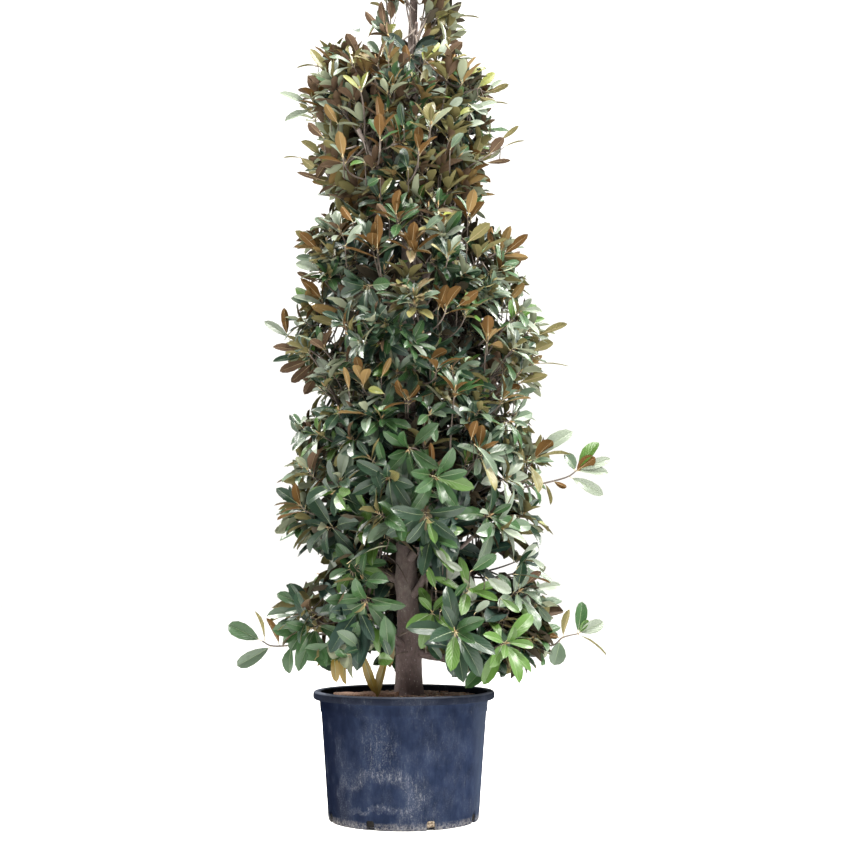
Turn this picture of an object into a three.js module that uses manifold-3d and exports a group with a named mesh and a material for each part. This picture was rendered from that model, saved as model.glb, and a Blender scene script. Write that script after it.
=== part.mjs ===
// A young evergreen magnolia, grown as one stem with foliage to the ground, in a round nursery pot.
//
// Millimetres, +Z up. The origin is the centre of the pot's flat underside, +X is the tree's right
// and -Y its front. The nodes are the pot, the root ball in it, the trunk, the main boughs and the
// masses of foliage. A mass is twigs that branch from one stem by a seeded rule, with leaves fused on.

import * as THREE from 'three';
import { mergeVertices } from 'three/addons/utils/BufferGeometryUtils.js';
import Module from 'manifold-3d';

const wasm = await Module();
wasm.setup();

// ---------------------------------------------------------------- driving dimensions

const GAP = 0.3; // air between two pieces that meet
const GUARD = 1.5; // how far leaves and twigs stay from the limbs, and from the next mass

const POT = {
  height: 480,
  rimRadius: 350, // outside of the rolled lip
  lipHeight: 31,
  lipEdge: 7, // how far the lip's edges are cut off
  neckRadius: 325, // outside of the wall, under the lip
  stepHeight: 405, // a shallow step runs round the wall here
  stepDepth: 3,
  footRadius: 290,
  wall: 6,
  floor: 9,
  segments: 40,
  slots: 8, // drain slots, through the wall and the edge of the floor
  slotTurn: 21, // degrees from +X to the first slot
  slotWidth: 32,
  slotHeight: 34,
};

const SOIL = { top: 452, mound: 9, moundRadius: 130, clearance: 1 };

const TRUNK = {
  // where the stem's centre stands at each height: it leans a little and wavers
  route: [
    { x: 19, y: 0, z: 452 },
    { x: 17, y: -2, z: 640 },
    { x: 6, y: 4, z: 1050 },
    { x: 8, y: 8, z: 1700 },
    { x: 18, y: -4, z: 2500 },
    { x: 31, y: 2, z: 3200 },
    { x: 35, y: 1, z: 3320 },
  ],
  tip: 3320,
  radiusAtSoil: 46.5, // of the straight taper
  radiusAtTip: 16,
  foot: { swell: 5, from: 620, to: 720 }, // thicker below the scar of a lost bough
  flare: { swell: 10, height: 45 },
  sides: 10,
  steps: 18,
  crowding: 1.35, // above 1, its rings stand closer where the foot flares
};

// A bough sawn off short.
const STUB = { z: 655, azimuth: -12, length: 78, rootRadius: 19, radius: 15, rise: 0.75, sides: 8 };

// The crown's outline: how far the leaf tips reach from the pot's axis, to the left and to the right,
// at each height. It is a stack of swells with waists between them.
const OUTLINE = [
  { z: 520, left: 330, right: 430 },
  { z: 620, left: 560, right: 600 },
  { z: 790, left: 560, right: 630 },
  { z: 960, left: 400, right: 520 },
  { z: 1130, left: 490, right: 575 },
  { z: 1440, left: 455, right: 620 },
  { z: 1610, left: 370, right: 480 },
  { z: 1850, left: 550, right: 620 },
  { z: 2050, left: 430, right: 490 },
  { z: 2220, left: 440, right: 490 },
  { z: 2430, left: 310, right: 340 },
  { z: 2620, left: 450, right: 430 },
  { z: 2870, left: 490, right: 420 },
  { z: 3060, left: 390, right: 260 },
  { z: 3260, left: 150, right: 220 },
  { z: 3440, left: 150, right: 190 },
  { z: 3720, left: 60, right: 90 },
];

// Foliage masses wind up the trunk a golden angle apart, each with an equal part of the crown's face.
const CROWN = {
  lowest: 590, // heights of the lowest and highest masses' middles
  highest: 3280,
  turn: -30, // degrees from +X to the lowest mass
  face: 0.42e6, // square millimetres of the crown's face to a mass
  middle: 0.75, // a mass's middle stands at this share of the reach
  lowestLeaf: 535,
  lowestFork: 640,
  lowFork: 0.35, // how far below its mass a bough leaves the trunk, as a share of the reach,
  highFork: 0.8, // at the crown's foot and at its top
  rise: 0.6, // share of that climb that is done where the bough enters its mass
  highestBough: 2350, // masses above this stand on the trunk
  seed: 103,
};

// Shoots that stand out of the outline, with how far their leaf tips reach.
const SPRAYS = [
  { azimuth: 183, height: 665, reach: 700 },
  { azimuth: -4, height: 690, reach: 800 },
  { azimuth: -9, height: 1345, reach: 815 },
];

// The mass on the trunk's tip: low is the share of its stem's height round which its shoots end.
const LEADER = { low: 0.3, spread: 60, seed: 12 };

const BOUGH = { radius: 19, tipRadius: 12, sides: 5, steps: 3, sag: 0.12 };
const STEM = { radius: 12, tipRadius: 9, from: 0.4, to: 0.66 }; // from and to are shares of the reach
const SHOOT = {
  perMass: 6,
  radius: 5.5,
  inset: 150, // how far its tip stays inside the outline
  lowest: 570, // height of the lowest tips
  nearest: 60, // least distance of a tip from the axis
  along: 0.6, // share of the stem, from its tip, that bears shoots
  sprayFrom: 0.95, // where on the stem a spray starts
};
const LEAF = {
  perShoot: 6,
  length: 265,
  width: 116,
  thickness: 7,
  curl: 16, // how far the tip hangs below the plane of the leaf's foot
  edge: [ // one side's corners between base and tip, as shares of the length and the width
    { along: 0.32, aside: 0.34 },
    { along: 0.66, aside: 0.5 },
  ],
  crest: 0.5, // share of the length at which the blade is thickest
  vary: 0.18, // share by which lengths differ
  crowding: 0.7, // share of the shoot, from its tip, that bears leaves
  lowSpread: 68, // degrees from leaf to shoot, at the crown's foot
  highSpread: 42, // and at its top
  waver: 16, // degrees over which that angle varies at random
  proud: 45, // how far a leaf may pass the outline
  draws: 20, // tries at a place for one leaf
};

// ---------------------------------------------------------------- helpers

const GOLDEN_ANGLE = Math.PI * (3 - Math.sqrt(5)); // spreads what grows round a shoot, or over a face
const UP = new THREE.Vector3(0, 0, 1);
const FINE = 1e-6; // how closely a height on the trunk is found
const radians = THREE.MathUtils.degToRad;
const { clamp, lerp, mapLinear, smoothstep } = THREE.MathUtils;
const vector = (x, y, z) => new THREE.Vector3(x, y, z);
const level = (azimuth, radius, z) => vector(radius * Math.cos(azimuth), radius * Math.sin(azimuth), z);

// A repeatable stream of numbers from 0 to 1.
function seeded(seed) {
  let state = seed >>> 0;
  return () => {
    state = (state + 0x6d2b79f5) >>> 0;
    let t = Math.imul(state ^ (state >>> 15), state | 1);
    t = (t + Math.imul(t ^ (t >>> 7), t | 61)) ^ t;
    return ((t ^ (t >>> 14)) >>> 0) / 2 ** 32;
  };
}

function geometryFrom(positions, index) {
  const geometry = new THREE.BufferGeometry();
  geometry.setAttribute('position', new THREE.Float32BufferAttribute(positions, 3));
  geometry.setIndex(index);
  return geometry;
}

// A closed tube of flat faces through the points, with a radius at each and a flat cut at both ends.
function tube(points, radii, sides) {
  const positions = [];
  const index = [];
  const last = points.length - 1;
  const start = points[1].clone().sub(points[0]).normalize();
  const side = Math.abs(start.x) < 0.9 ? vector(1, 0, 0) : vector(0, 1, 0);
  points.forEach((point, i) => {
    const tangent = points[Math.min(i + 1, last)].clone().sub(points[Math.max(i - 1, 0)]).normalize();
    side.addScaledVector(tangent, -side.dot(tangent)).normalize();
    const other = tangent.clone().cross(side);
    for (let k = 0; k < sides; k += 1) {
      const angle = (2 * Math.PI * k) / sides;
      const corner = point.clone().addScaledVector(side, radii[i] * Math.cos(angle));
      positions.push(...corner.addScaledVector(other, radii[i] * Math.sin(angle)).toArray());
    }
  });
  for (let i = 0; i < last; i += 1) {
    for (let k = 0; k < sides; k += 1) {
      const [a, b] = [i * sides + k, i * sides + ((k + 1) % sides)];
      index.push(a, b, b + sides, a, b + sides, a + sides);
    }
  }
  for (let k = 1; k < sides - 1; k += 1) {
    index.push(0, k + 1, k);
    index.push(last * sides, last * sides + k, last * sides + k + 1);
  }
  return geometryFrom(positions, index);
}

// The point at a share of the way along a bent line.
function pointAlong(points, share) {
  const place = share * (points.length - 1);
  const i = Math.min(Math.floor(place), points.length - 2);
  return points[i].clone().lerp(points[i + 1], place - i);
}

// A tube whose radius falls evenly from one end to the other.
function taperedTube(points, radius, tipRadius, sides) {
  return tube(points, points.map((_, i) => lerp(radius, tipRadius, i / (points.length - 1))), sides);
}

function solidOf(geometry) {
  const bare = geometry.clone();
  bare.deleteAttribute('normal');
  bare.deleteAttribute('uv');
  const merged = mergeVertices(bare);
  return new wasm.Manifold(
    new wasm.Mesh({
      numProp: 3,
      vertProperties: merged.attributes.position.array,
      triVerts: new Uint32Array(merged.index.array),
    }),
  );
}

// The one body that counts: hollows sealed by fusing are filled and loose scraps dropped.
function mainBody(solid) {
  const bodies = solid.decompose().filter((body) => body.volume() > 0);
  return bodies.reduce((best, body) => (body.volume() > best.volume() ? body : best));
}

function meshOf(name, solid, material) {
  const { numProp, vertProperties, triVerts, numVert } = solid.getMesh();
  const positions = new Float32Array(numVert * 3);
  for (let i = 0; i < numVert; i += 1) {
    positions.set(vertProperties.subarray(i * numProp, i * numProp + 3), i * 3);
  }
  const geometry = geometryFrom(positions, [...triVerts]).toNonIndexed();
  geometry.computeVertexNormals();
  const mesh = new THREE.Mesh(geometry, material);
  mesh.name = name;
  return mesh;
}

// ---------------------------------------------------------------- pot and root ball

// Radius of the wall's outside at a height, below the lip.
function wallRadius(z) {
  const slope = (POT.neckRadius - POT.footRadius) / (POT.height - POT.lipHeight);
  return POT.footRadius + slope * z - (z < POT.stepHeight ? POT.stepDepth : 0);
}

// Radius of the wall's inside, which runs straight from the floor to the rim.
function innerRadius(z) {
  const share = (z - POT.floor) / (POT.height - POT.floor);
  return lerp(wallRadius(POT.floor), wallRadius(POT.height), share) - POT.wall;
}

const lathe = (profile) =>
  new THREE.LatheGeometry(profile.map(([r, z]) => new THREE.Vector2(r, z)), POT.segments)
    .rotateX(Math.PI / 2);

function potSolid() {
  const { height, rimRadius, lipHeight, lipEdge, stepHeight, stepDepth, wall, floor } = POT;
  const lipFoot = height - lipHeight;
  const belowStep = stepHeight - stepDepth;
  const shell = lathe([
    [0, 0],
    [wallRadius(0), 0],
    [wallRadius(belowStep), belowStep],
    [wallRadius(stepHeight), stepHeight],
    [wallRadius(lipFoot), lipFoot],
    [rimRadius - lipEdge, lipFoot],
    [rimRadius, lipFoot + lipEdge],
    [rimRadius, height - lipEdge],
    [rimRadius - lipEdge, height],
    [innerRadius(height), height],
    [innerRadius(floor), floor],
    [0, floor],
  ]);
  let pot = solidOf(shell);
  for (let k = 0; k < POT.slots; k += 1) {
    const slot = new THREE.BoxGeometry(8 * wall, POT.slotWidth, 2 * POT.slotHeight);
    slot.translate(POT.footRadius, 0, 0);
    slot.rotateZ(radians(POT.slotTurn + (360 * k) / POT.slots));
    pot = pot.subtract(solidOf(slot));
  }
  return mainBody(pot);
}

function rootBallSolid() {
  const radius = (z) => innerRadius(z) - SOIL.clearance;
  const foot = POT.floor + SOIL.clearance;
  const edge = SOIL.top - SOIL.mound;
  return solidOf(lathe([
    [0, foot], [radius(foot), foot], [radius(edge), edge], [SOIL.moundRadius, SOIL.top], [0, SOIL.top],
  ]));
}

// ---------------------------------------------------------------- trunk and boughs

const trunkCurve = new THREE.CatmullRomCurve3(TRUNK.route.map(({ x, y, z }) => vector(x, y, z)));

function trunkRadius(z) {
  const { foot, flare, radiusAtSoil, radiusAtTip, tip } = TRUNK;
  const taper = mapLinear(z, SOIL.top, tip, radiusAtSoil, radiusAtTip);
  const thick = foot.swell * (1 - smoothstep(z, foot.from, foot.to));
  return taper + thick + flare.swell * Math.exp((SOIL.top - z) / flare.height);
}

// The trunk's centre at a height, found by halving.
function trunkAt(z) {
  let [low, high] = [0, 1];
  while (high - low > FINE) {
    const middle = (low + high) / 2;
    if (trunkCurve.getPoint(middle).z < z) low = middle;
    else high = middle;
  }
  return trunkCurve.getPoint(low);
}

// The trunk, grown by extra all over, with a level cut just above the soil.
function trunkSolid(extra = 0) {
  const heights = Array.from({ length: TRUNK.steps + 1 }, (_, i) =>
    lerp(SOIL.top + GAP, TRUNK.tip, (i / TRUNK.steps) ** TRUNK.crowding));
  const points = heights.map(trunkAt);
  points[0].set(points[1].x, points[1].y, SOIL.top + GAP); // upright there, so that the cut is level
  const stem = tube(points, heights.map((z) => trunkRadius(z) + extra), TRUNK.sides);
  const foot = trunkAt(STUB.z);
  const outward = level(radians(STUB.azimuth), 1, STUB.rise).normalize();
  const end = foot.clone().addScaledVector(outward, STUB.length);
  const stub = taperedTube([foot, end], STUB.rootRadius + extra, STUB.radius + extra, STUB.sides);
  return solidOf(stem).add(solidOf(stub));
}

// A bough climbs out of the trunk in an arc to where it enters its mass.
function boughRoute(from, to) {
  const control = from.clone().lerp(to, 0.5);
  control.z -= BOUGH.sag * from.distanceTo(to);
  return new THREE.QuadraticBezierCurve3(from, control, to).getPoints(BOUGH.steps);
}

function boughSolid(mass, extra = 0) {
  return solidOf(taperedTube(mass.boughRoute, BOUGH.radius + extra, BOUGH.tipRadius + extra, BOUGH.sides));
}

// ---------------------------------------------------------------- the crown's plan

// How far leaf tips reach at a height, towards an azimuth.
function reachAt(z, azimuth) {
  const above = OUTLINE.findIndex((p) => p.z > z);
  const upper = OUTLINE[above < 0 ? OUTLINE.length - 1 : Math.max(above, 1)];
  const lower = OUTLINE[OUTLINE.indexOf(upper) - 1];
  const share = clamp((z - lower.z) / (upper.z - lower.z), 0, 1);
  const [left, right] = [lerp(lower.left, upper.left, share), lerp(lower.right, upper.right, share)];
  return mapLinear(Math.cos(azimuth), -1, 1, left, right);
}

// One mass: where it sits, and how its stem starts, from its bough's tip or the trunk.
function planMass(height, azimuth, number) {
  const reach = reachAt(height, azimuth);
  const up = mapLinear(height, CROWN.lowest, CROWN.highest, 0, 1);
  const label = String(number).padStart(2, '0');
  const mass = {
    name: `foliage_${label}`,
    seed: CROWN.seed * number,
    height,
    azimuth,
    spread: lerp(LEAF.lowSpread, LEAF.highSpread, up),
    middle: level(azimuth, CROWN.middle * reach, height),
    heart: level(azimuth, STEM.to * reach, height),
    half: Math.sqrt(CROWN.face) / 2,
  };
  const drop = lerp(CROWN.lowFork, CROWN.highFork, up) * reach;
  const fork = trunkAt(Math.max(height - drop, CROWN.lowestFork));
  if (height < CROWN.highestBough) {
    const end = level(azimuth, STEM.from * reach, lerp(fork.z, height, CROWN.rise));
    mass.bough = `bough_${label}`;
    mass.boughRoute = boughRoute(fork, end);
    mass.heading = end.clone().sub(mass.boughRoute.at(-2)).normalize();
    mass.root = end.clone().addScaledVector(mass.heading, GAP);
  } else {
    mass.heading = mass.heart.clone().sub(fork).normalize();
    mass.root = fork;
  }
  return mass;
}

// The mass that ends the trunk, with shoots all round.
function planLeader() {
  const root = trunkAt(TRUNK.tip).addScaledVector(UP, GAP);
  const half = (OUTLINE.at(-1).z - TRUNK.tip) / 2;
  const heart = root.clone().addScaledVector(UP, half);
  return {
    name: 'foliage_leader', seed: LEADER.seed, height: lerp(root.z, heart.z, LEADER.low),
    azimuth: 0, onTop: true, spread: LEADER.spread, middle: heart, heart, half,
    heading: UP.clone(), root,
  };
}

function planCrown() {
  const masses = [];
  let height = CROWN.lowest;
  while (height < CROWN.highest) {
    const azimuth = radians(CROWN.turn) + GOLDEN_ANGLE * masses.length;
    masses.push(planMass(height, azimuth, masses.length + 1));
    height += CROWN.face / (2 * Math.PI * reachAt(height, Math.PI / 2));
  }
  masses.push(planLeader());
  return masses;
}

// Whether points lie in a mass's own space: a cell with flat walls halfway to its neighbours.
function inOwnSpace(mass, masses, points) {
  return masses.every((other) => {
    const apart = mass.middle.distanceTo(other.middle);
    return other === mass || points.every((p) =>
      p.distanceToSquared(other.middle) - p.distanceToSquared(mass.middle) > 2 * apart * GUARD);
  });
}

// ---------------------------------------------------------------- stems, shoots and leaves

// The corners of a leaf: an outline of six, from its base round by its tip, and the blade's crest.
function leafCorners(base, along, face, size) {
  const side = along.clone().cross(face);
  const length = LEAF.length * size;
  const at = (share, aside) => base.clone()
    .addScaledVector(along, share * length)
    .addScaledVector(side, aside * LEAF.width * size)
    .addScaledVector(face, -LEAF.curl * share ** 2);
  const right = LEAF.edge.map(({ along: share, aside }) => at(share, aside));
  const left = LEAF.edge.map(({ along: share, aside }) => at(share, -aside)).reverse();
  const crest = at(LEAF.crest, 0).addScaledVector(face, LEAF.thickness);
  return [at(0, 0), ...right, at(1, 0), ...left, crest];
}

const LEAF_FACES = [
  0, 1, 6, 1, 2, 6, 2, 3, 6, 3, 4, 6, 4, 5, 6, 5, 0, 6, // above, round the crest
  0, 5, 1, 1, 5, 4, 1, 4, 2, 2, 4, 3, // below
];

const leafSolid = (corners) => solidOf(geometryFrom(corners.flatMap((p) => p.toArray()), LEAF_FACES));

// A leaf without its foot, for testing what it would run into.
function leafBlade(corners) {
  const [base, ...others] = corners;
  return leafSolid([base.clone().lerp(corners.at(-1), 0.5), ...others]);
}

// The course of a mass's stem, which starts square on its root.
function stemOf({ root, heading, heart }) {
  const elbow = root.clone().addScaledVector(heading, 0.5 * root.distanceTo(heart));
  const [, middle, end] = new THREE.QuadraticBezierCurve3(root, elbow, heart).getPoints(2);
  return [root, root.clone().addScaledVector(heading, STEM.radius), middle, end];
}

function stemSolid(mass, extra = 0) {
  return solidOf(taperedTube(stemOf(mass), STEM.radius + extra, STEM.tipRadius + extra, 3));
}

// A mass's shoots run straight out and end evenly over its part of the crown's face, as the seeds do
// in a sunflower's head. The sprays that are nearest to the mass are added.
function shootsOf(mass, masses, stem) {
  const shoots = [];
  for (let k = 0; k < SHOOT.perMass; k += 1) {
    const out = Math.sqrt((k + 0.5) / SHOOT.perMass);
    const turn = GOLDEN_ANGLE * k + mass.seed;
    const height = Math.max(mass.height + mass.half * out * Math.sin(turn), SHOOT.lowest);
    const across = (mass.half * out * Math.cos(turn)) / reachAt(mass.height, mass.azimuth);
    const azimuth = mass.azimuth + (mass.onTop ? turn : across);
    const reach = Math.max(reachAt(height, azimuth) - SHOOT.inset, SHOOT.nearest);
    shoots.push({ share: 1 - (SHOOT.along * k) / SHOOT.perMass, tip: level(azimuth, reach, height) });
  }
  for (const spray of SPRAYS) {
    const tip = level(radians(spray.azimuth), spray.reach - SHOOT.inset, spray.height);
    const nearest = (a, b) => (tip.distanceTo(a.middle) < tip.distanceTo(b.middle) ? a : b);
    if (masses.reduce(nearest) === mass) {
      shoots.push({ share: SHOOT.sprayFrom, tip, reach: spray.reach });
    }
  }
  return shoots.map(({ share, tip, reach }) => {
    if (mass.onTop) tip.add(vector(mass.root.x, mass.root.y, 0));
    return { line: [pointAlong(stem, share), tip], reach };
  });
}

const inHeight = (p) => p.z > CROWN.lowestLeaf && p.z < OUTLINE.at(-1).z;

// Whether a point is no further out than the crown's leaves go or, on a spray, than that spray reaches.
const inReach = (p, reach) =>
  Math.hypot(p.x, p.y) < (reach ?? reachAt(p.z, Math.atan2(p.y, p.x)) + LEAF.proud);

// The j-th leaf of a shoot, turned at random: lower ones lie flatter, and the last ones close the tip.
function drawLeaf(mass, [foot, tip], j, random) {
  const share = (j + 0.5) / LEAF.perShoot;
  const axis = tip.clone().sub(foot).normalize();
  const around = vector(axis.z, 0, -axis.x).normalize();
  around.applyAxisAngle(axis, GOLDEN_ANGLE * j + 2 * Math.PI * random());
  const angle = radians(mass.spread * (1.25 - 0.5 * share) + LEAF.waver * (random() - 0.5));
  const [ahead, aside] = [Math.cos(angle), Math.sin(angle)];
  const along = axis.clone().multiplyScalar(ahead).addScaledVector(around, aside);
  const face = axis.clone().multiplyScalar(aside).addScaledVector(around, -ahead);
  const base = foot.clone().lerp(tip, 1 - LEAF.crowding * (1 - share));
  return leafCorners(base, along, face, 1 + LEAF.vary * (2 * random() - 1));
}

// One mass: its stem, its shoots, and round the outer part of each shoot its leaves. What would leave
// the mass's space, touch a limb or run through another leaf is drawn again, and in the end left out.
function massSolid(mass, masses, inTheWay) {
  const random = seeded(mass.seed);
  const free = (points, body) =>
    inOwnSpace(mass, masses, points) && body.intersect(inTheWay).isEmpty();
  let solid = stemSolid(mass);
  const shoots = shootsOf(mass, masses, stemOf(mass)).filter(({ line }) => {
    const twig = solidOf(taperedTube(line, SHOOT.radius, SHOOT.radius, 3));
    const fits = free(line, twig);
    if (fits) solid = solid.add(twig);
    return fits;
  });
  for (const { line, reach } of shoots) {
    for (let j = 0; j < LEAF.perShoot; j += 1) {
      for (let draw = 0; draw < LEAF.draws; draw += 1) {
        const corners = drawLeaf(mass, line, j, random);
        const leaf = leafSolid(corners);
        const inside = corners.every((p) => inHeight(p) && inReach(p, reach));
        if (inside && free(corners, leaf) && leafBlade(corners).intersect(solid).isEmpty()) {
          solid = solid.add(leaf);
          break;
        }
      }
    }
  }
  return solid;
}

// ---------------------------------------------------------------- assembly

const finish = (color, roughness) =>
  new THREE.MeshStandardMaterial({ color, roughness, metalness: 0, flatShading: true });
const potPlastic = finish(0x3b465c, 0.55);
const soil = finish(0x4d3b2f, 0.95);
const bark = finish(0x5d4e48, 0.9);
const greenLeaves = finish(0x3c5a3a, 0.4);
const rustLeaves = finish(0x6b5231, 0.5);

function buildTree() {
  const tree = new THREE.Group();
  const masses = planCrown();
  const trunkClear = trunkSolid(GAP);
  tree.add(meshOf('pot', potSolid(), potPlastic));
  tree.add(meshOf('root_ball', rootBallSolid(), soil));
  tree.add(meshOf('trunk', trunkSolid(), bark));

  let limbs = trunkSolid(GUARD);
  for (const mass of masses.filter((m) => m.bough)) {
    tree.add(meshOf(mass.bough, mainBody(boughSolid(mass).subtract(trunkClear)), bark));
    limbs = limbs.add(boughSolid(mass, GUARD));
  }
  for (const mass of masses) {
    const others = masses.filter((other) => other !== mass);
    const inTheWay = others.reduce((all, other) => all.add(stemSolid(other, GUARD)), limbs);
    const leaves = mass.height < CROWN.highestBough ? greenLeaves : rustLeaves;
    tree.add(meshOf(mass.name, mainBody(massSolid(mass, masses, inTheWay).subtract(trunkClear)), leaves));
  }
  return tree;
}

export default buildTree();
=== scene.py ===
"""A young evergreen magnolia in a blue nursery pot: the looks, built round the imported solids.

Metres, +Z up, in the frame of the solids. The limbs and masses follow the rule of the solids'
source. Each mass is carried on to finer shoots and to leaves of their real size.
"""

import math
from collections import namedtuple

import bpy
import numpy as np
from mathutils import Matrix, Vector


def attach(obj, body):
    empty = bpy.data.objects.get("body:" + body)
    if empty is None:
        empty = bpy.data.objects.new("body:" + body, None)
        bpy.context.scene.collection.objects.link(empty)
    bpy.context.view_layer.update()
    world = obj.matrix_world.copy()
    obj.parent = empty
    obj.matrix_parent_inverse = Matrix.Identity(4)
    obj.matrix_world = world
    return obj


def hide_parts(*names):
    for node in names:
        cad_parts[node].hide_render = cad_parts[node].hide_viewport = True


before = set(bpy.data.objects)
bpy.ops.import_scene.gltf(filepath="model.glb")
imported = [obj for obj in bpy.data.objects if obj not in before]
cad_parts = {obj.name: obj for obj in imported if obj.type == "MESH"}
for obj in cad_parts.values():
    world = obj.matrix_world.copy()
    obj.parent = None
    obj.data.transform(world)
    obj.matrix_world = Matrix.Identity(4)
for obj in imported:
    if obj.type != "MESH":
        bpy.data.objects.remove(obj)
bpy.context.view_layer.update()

# ------------------------------------------------------------------ driving dimensions

GOLDEN_ANGLE = math.pi * (3 - math.sqrt(5))
UP = np.array([0.0, 0.0, 1.0])

# The trunk: where its centre stands at each height, and its radius.
TRUNK_ROUTE = np.array([
    [0.019, 0.000, 0.452],
    [0.017, -0.002, 0.640],
    [0.006, 0.004, 1.050],
    [0.008, 0.008, 1.700],
    [0.018, -0.004, 2.500],
    [0.031, 0.002, 3.200],
    [0.035, 0.001, 3.320],
])
SOIL_TOP = 0.452
TRUNK_TIP = 3.320
RADIUS_AT_SOIL = 0.0465
RADIUS_AT_TIP = 0.016
FOOT_SWELL, FOOT_FROM, FOOT_TO = 0.005, 0.620, 0.720
FLARE_SWELL, FLARE_HEIGHT = 0.010, 0.045
STUB = {"z": 0.655, "azimuth": math.radians(-12), "length": 0.078, "root": 0.019, "tip": 0.015, "rise": 0.75}

# The crown's outline: height, and how far leaf tips reach to the left and to the right.
OUTLINE = np.array([
    [0.52, 0.24, 0.36], [0.60, 0.44, 0.55], [0.70, 0.52, 0.60], [0.78, 0.62, 0.62],
    [0.87, 0.48, 0.72], [0.96, 0.34, 0.60], [1.06, 0.47, 0.60], [1.22, 0.51, 0.55],
    [1.34, 0.46, 0.61], [1.46, 0.46, 0.60], [1.55, 0.45, 0.50], [1.60, 0.26, 0.38],
    [1.66, 0.38, 0.57], [1.76, 0.51, 0.60], [1.92, 0.49, 0.60], [2.00, 0.40, 0.47],
    [2.08, 0.42, 0.52], [2.20, 0.42, 0.46], [2.29, 0.42, 0.43], [2.38, 0.25, 0.24],
    [2.46, 0.30, 0.34], [2.56, 0.42, 0.32], [2.70, 0.29, 0.40], [2.80, 0.43, 0.30],
    [2.88, 0.43, 0.40], [2.96, 0.34, 0.34], [3.06, 0.48, 0.06], [3.16, 0.04, 0.26],
    [3.26, 0.11, 0.21], [3.44, 0.15, 0.19], [3.72, 0.06, 0.09],
])
CROWN_TOP = OUTLINE[-1, 0]

# The masses, as in the solids, whose plan has this simpler outline.
PLAN = np.array([
    [0.52, 0.33, 0.43], [0.62, 0.56, 0.60], [0.79, 0.56, 0.63], [0.96, 0.40, 0.52],
    [1.13, 0.49, 0.575], [1.44, 0.455, 0.62], [1.61, 0.37, 0.48], [1.85, 0.55, 0.62],
    [2.05, 0.43, 0.49], [2.22, 0.44, 0.49], [2.43, 0.31, 0.34], [2.62, 0.45, 0.43],
    [2.87, 0.49, 0.42], [3.06, 0.39, 0.26], [3.26, 0.15, 0.22], [3.44, 0.15, 0.19],
    [3.72, 0.06, 0.09],
])
LOWEST, HIGHEST = 0.590, 3.280
FIRST_TURN = math.radians(-30)
MASS_FACE = 0.42
MIDDLE = 0.75
LOWEST_FORK = 0.640
LOW_FORK, HIGH_FORK = 0.35, 0.8
BOUGH_RISE = 0.6
HIGHEST_BOUGH = 2.350
STEM_FROM, STEM_TO = 0.4, 0.66
BOUGH_RADIUS, BOUGH_TIP, BOUGH_SAG = 0.019, 0.012, 0.12
STEM_TIP = 0.007
MASS_SEED = 103
LEADER_LOW, LEADER_SEED = 0.3, 12

# Shoots and their side shoots.
LOW_SHOOTS, HIGH_SHOOTS = 11, 27  # to a mass, at the crown's foot and above SMALL_LEAVES
LEADER_SHOOTS = 13
SPREAD = 1.14  # the disc of shoots is as large as the mass's share of the crown's face
LOW_INSET, HIGH_INSET = 0.62, 0.44  # of shoot tips from the outline, in leaf lengths
DEPTH = 0.16  # by how much of the reach the tips waver inwards
LOWEST_TIP = 0.62
ALONG = 0.75  # share of the stem, from its tip, that bears shoots
SHOOT_RADIUS, SHOOT_TIP = 0.0044, 0.0024
SIDE_SHOOTS = 1.15  # to a shoot, on average
INNER_SHOOTS = 21  # to a mass, in its shade
INNER_FROM = 0.2  # share of the bough and stem, from the trunk, where they start
INNER_SPREAD = 2.2
INNER_REACH = (0.08, 0.26)
INNER_LIMIT = 0.72  # share of the crown's reach

# Leaves: long and broad low down, small higher up.
LARGE_LEAVES, SMALL_LEAVES = 0.75, 1.70  # heights
LARGE_LEAF, SMALL_LEAF = 0.165, 0.100  # lengths
SLENDER = 0.355  # width to length
ROSETTE = 10
BAREST = 4  # a shoot with no more leaves than this is left out
PROUD = 0.040  # how far a leaf may pass the outline
LOWEST_LEAF = 0.515
PETIOLE = 0.11  # of the leaf's length
THICKNESS = 0.0009

# Gaps through the crown, seen from the front: x, z, half the width and half the height.
GAPS = np.array([
    [-0.076, 1.019, 0.034, 0.018],
    [0.254, 1.055, 0.026, 0.034],
    [0.292, 0.910, 0.022, 0.018],
    [0.375, 0.957, 0.060, 0.030],
    [0.120, 0.548, 0.040, 0.066],
    [-0.136, 0.590, 0.018, 0.060],
    [-0.060, 0.537, 0.024, 0.036],
    [-0.272, 1.885, 0.014, 0.028],
    [-0.325, 1.212, 0.016, 0.020],
    [-0.360, 0.960, 0.060, 0.028],
    [-0.035, 3.210, 0.022, 0.060],
    [0.063, 3.150, 0.012, 0.030],
    [-0.125, 3.100, 0.012, 0.028],
])
EYE = np.array([0.087, -5.069, 0.860])  # the camera's place, from which the gaps and the trunk are seen
BARE_TRUNK = 1.05  # the trunk shows below this height
BARE_TIP = (3.06, 3.60)  # and between these

# ------------------------------------------------------------------ leaves that have their own place

# The camera's upward tilt in degrees, its focal length in the photo's pixels, and the photo's middle.
UPWARD, FOCAL_PIXELS, PHOTO_MIDDLE = 7.28, 1287.6, 426.5
LEAST_WIDTH = 12  # of a marked leaf, in millimetres


def marked(across, down, y):
    """x and z of a pixel of the photo on the upright plane at y, in millimetres, and how far off it is."""
    tilt = math.radians(UPWARD)
    aside, above = (across - PHOTO_MIDDLE) / FOCAL_PIXELS, (PHOTO_MIDDLE - down) / FOCAL_PIXELS
    far = (y / 1000 - EYE[1]) / (math.cos(tilt) - above * math.sin(tilt))
    rise = math.sin(tilt) + above * math.cos(tilt)
    return round((EYE[0] + far * aside) * 1000), round((EYE[2] + far * rise) * 1000), far


def marked_star(across, down, y, *rest):
    x, z, _ = marked(across, down, y)
    return (x, y, z, *rest)


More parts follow.
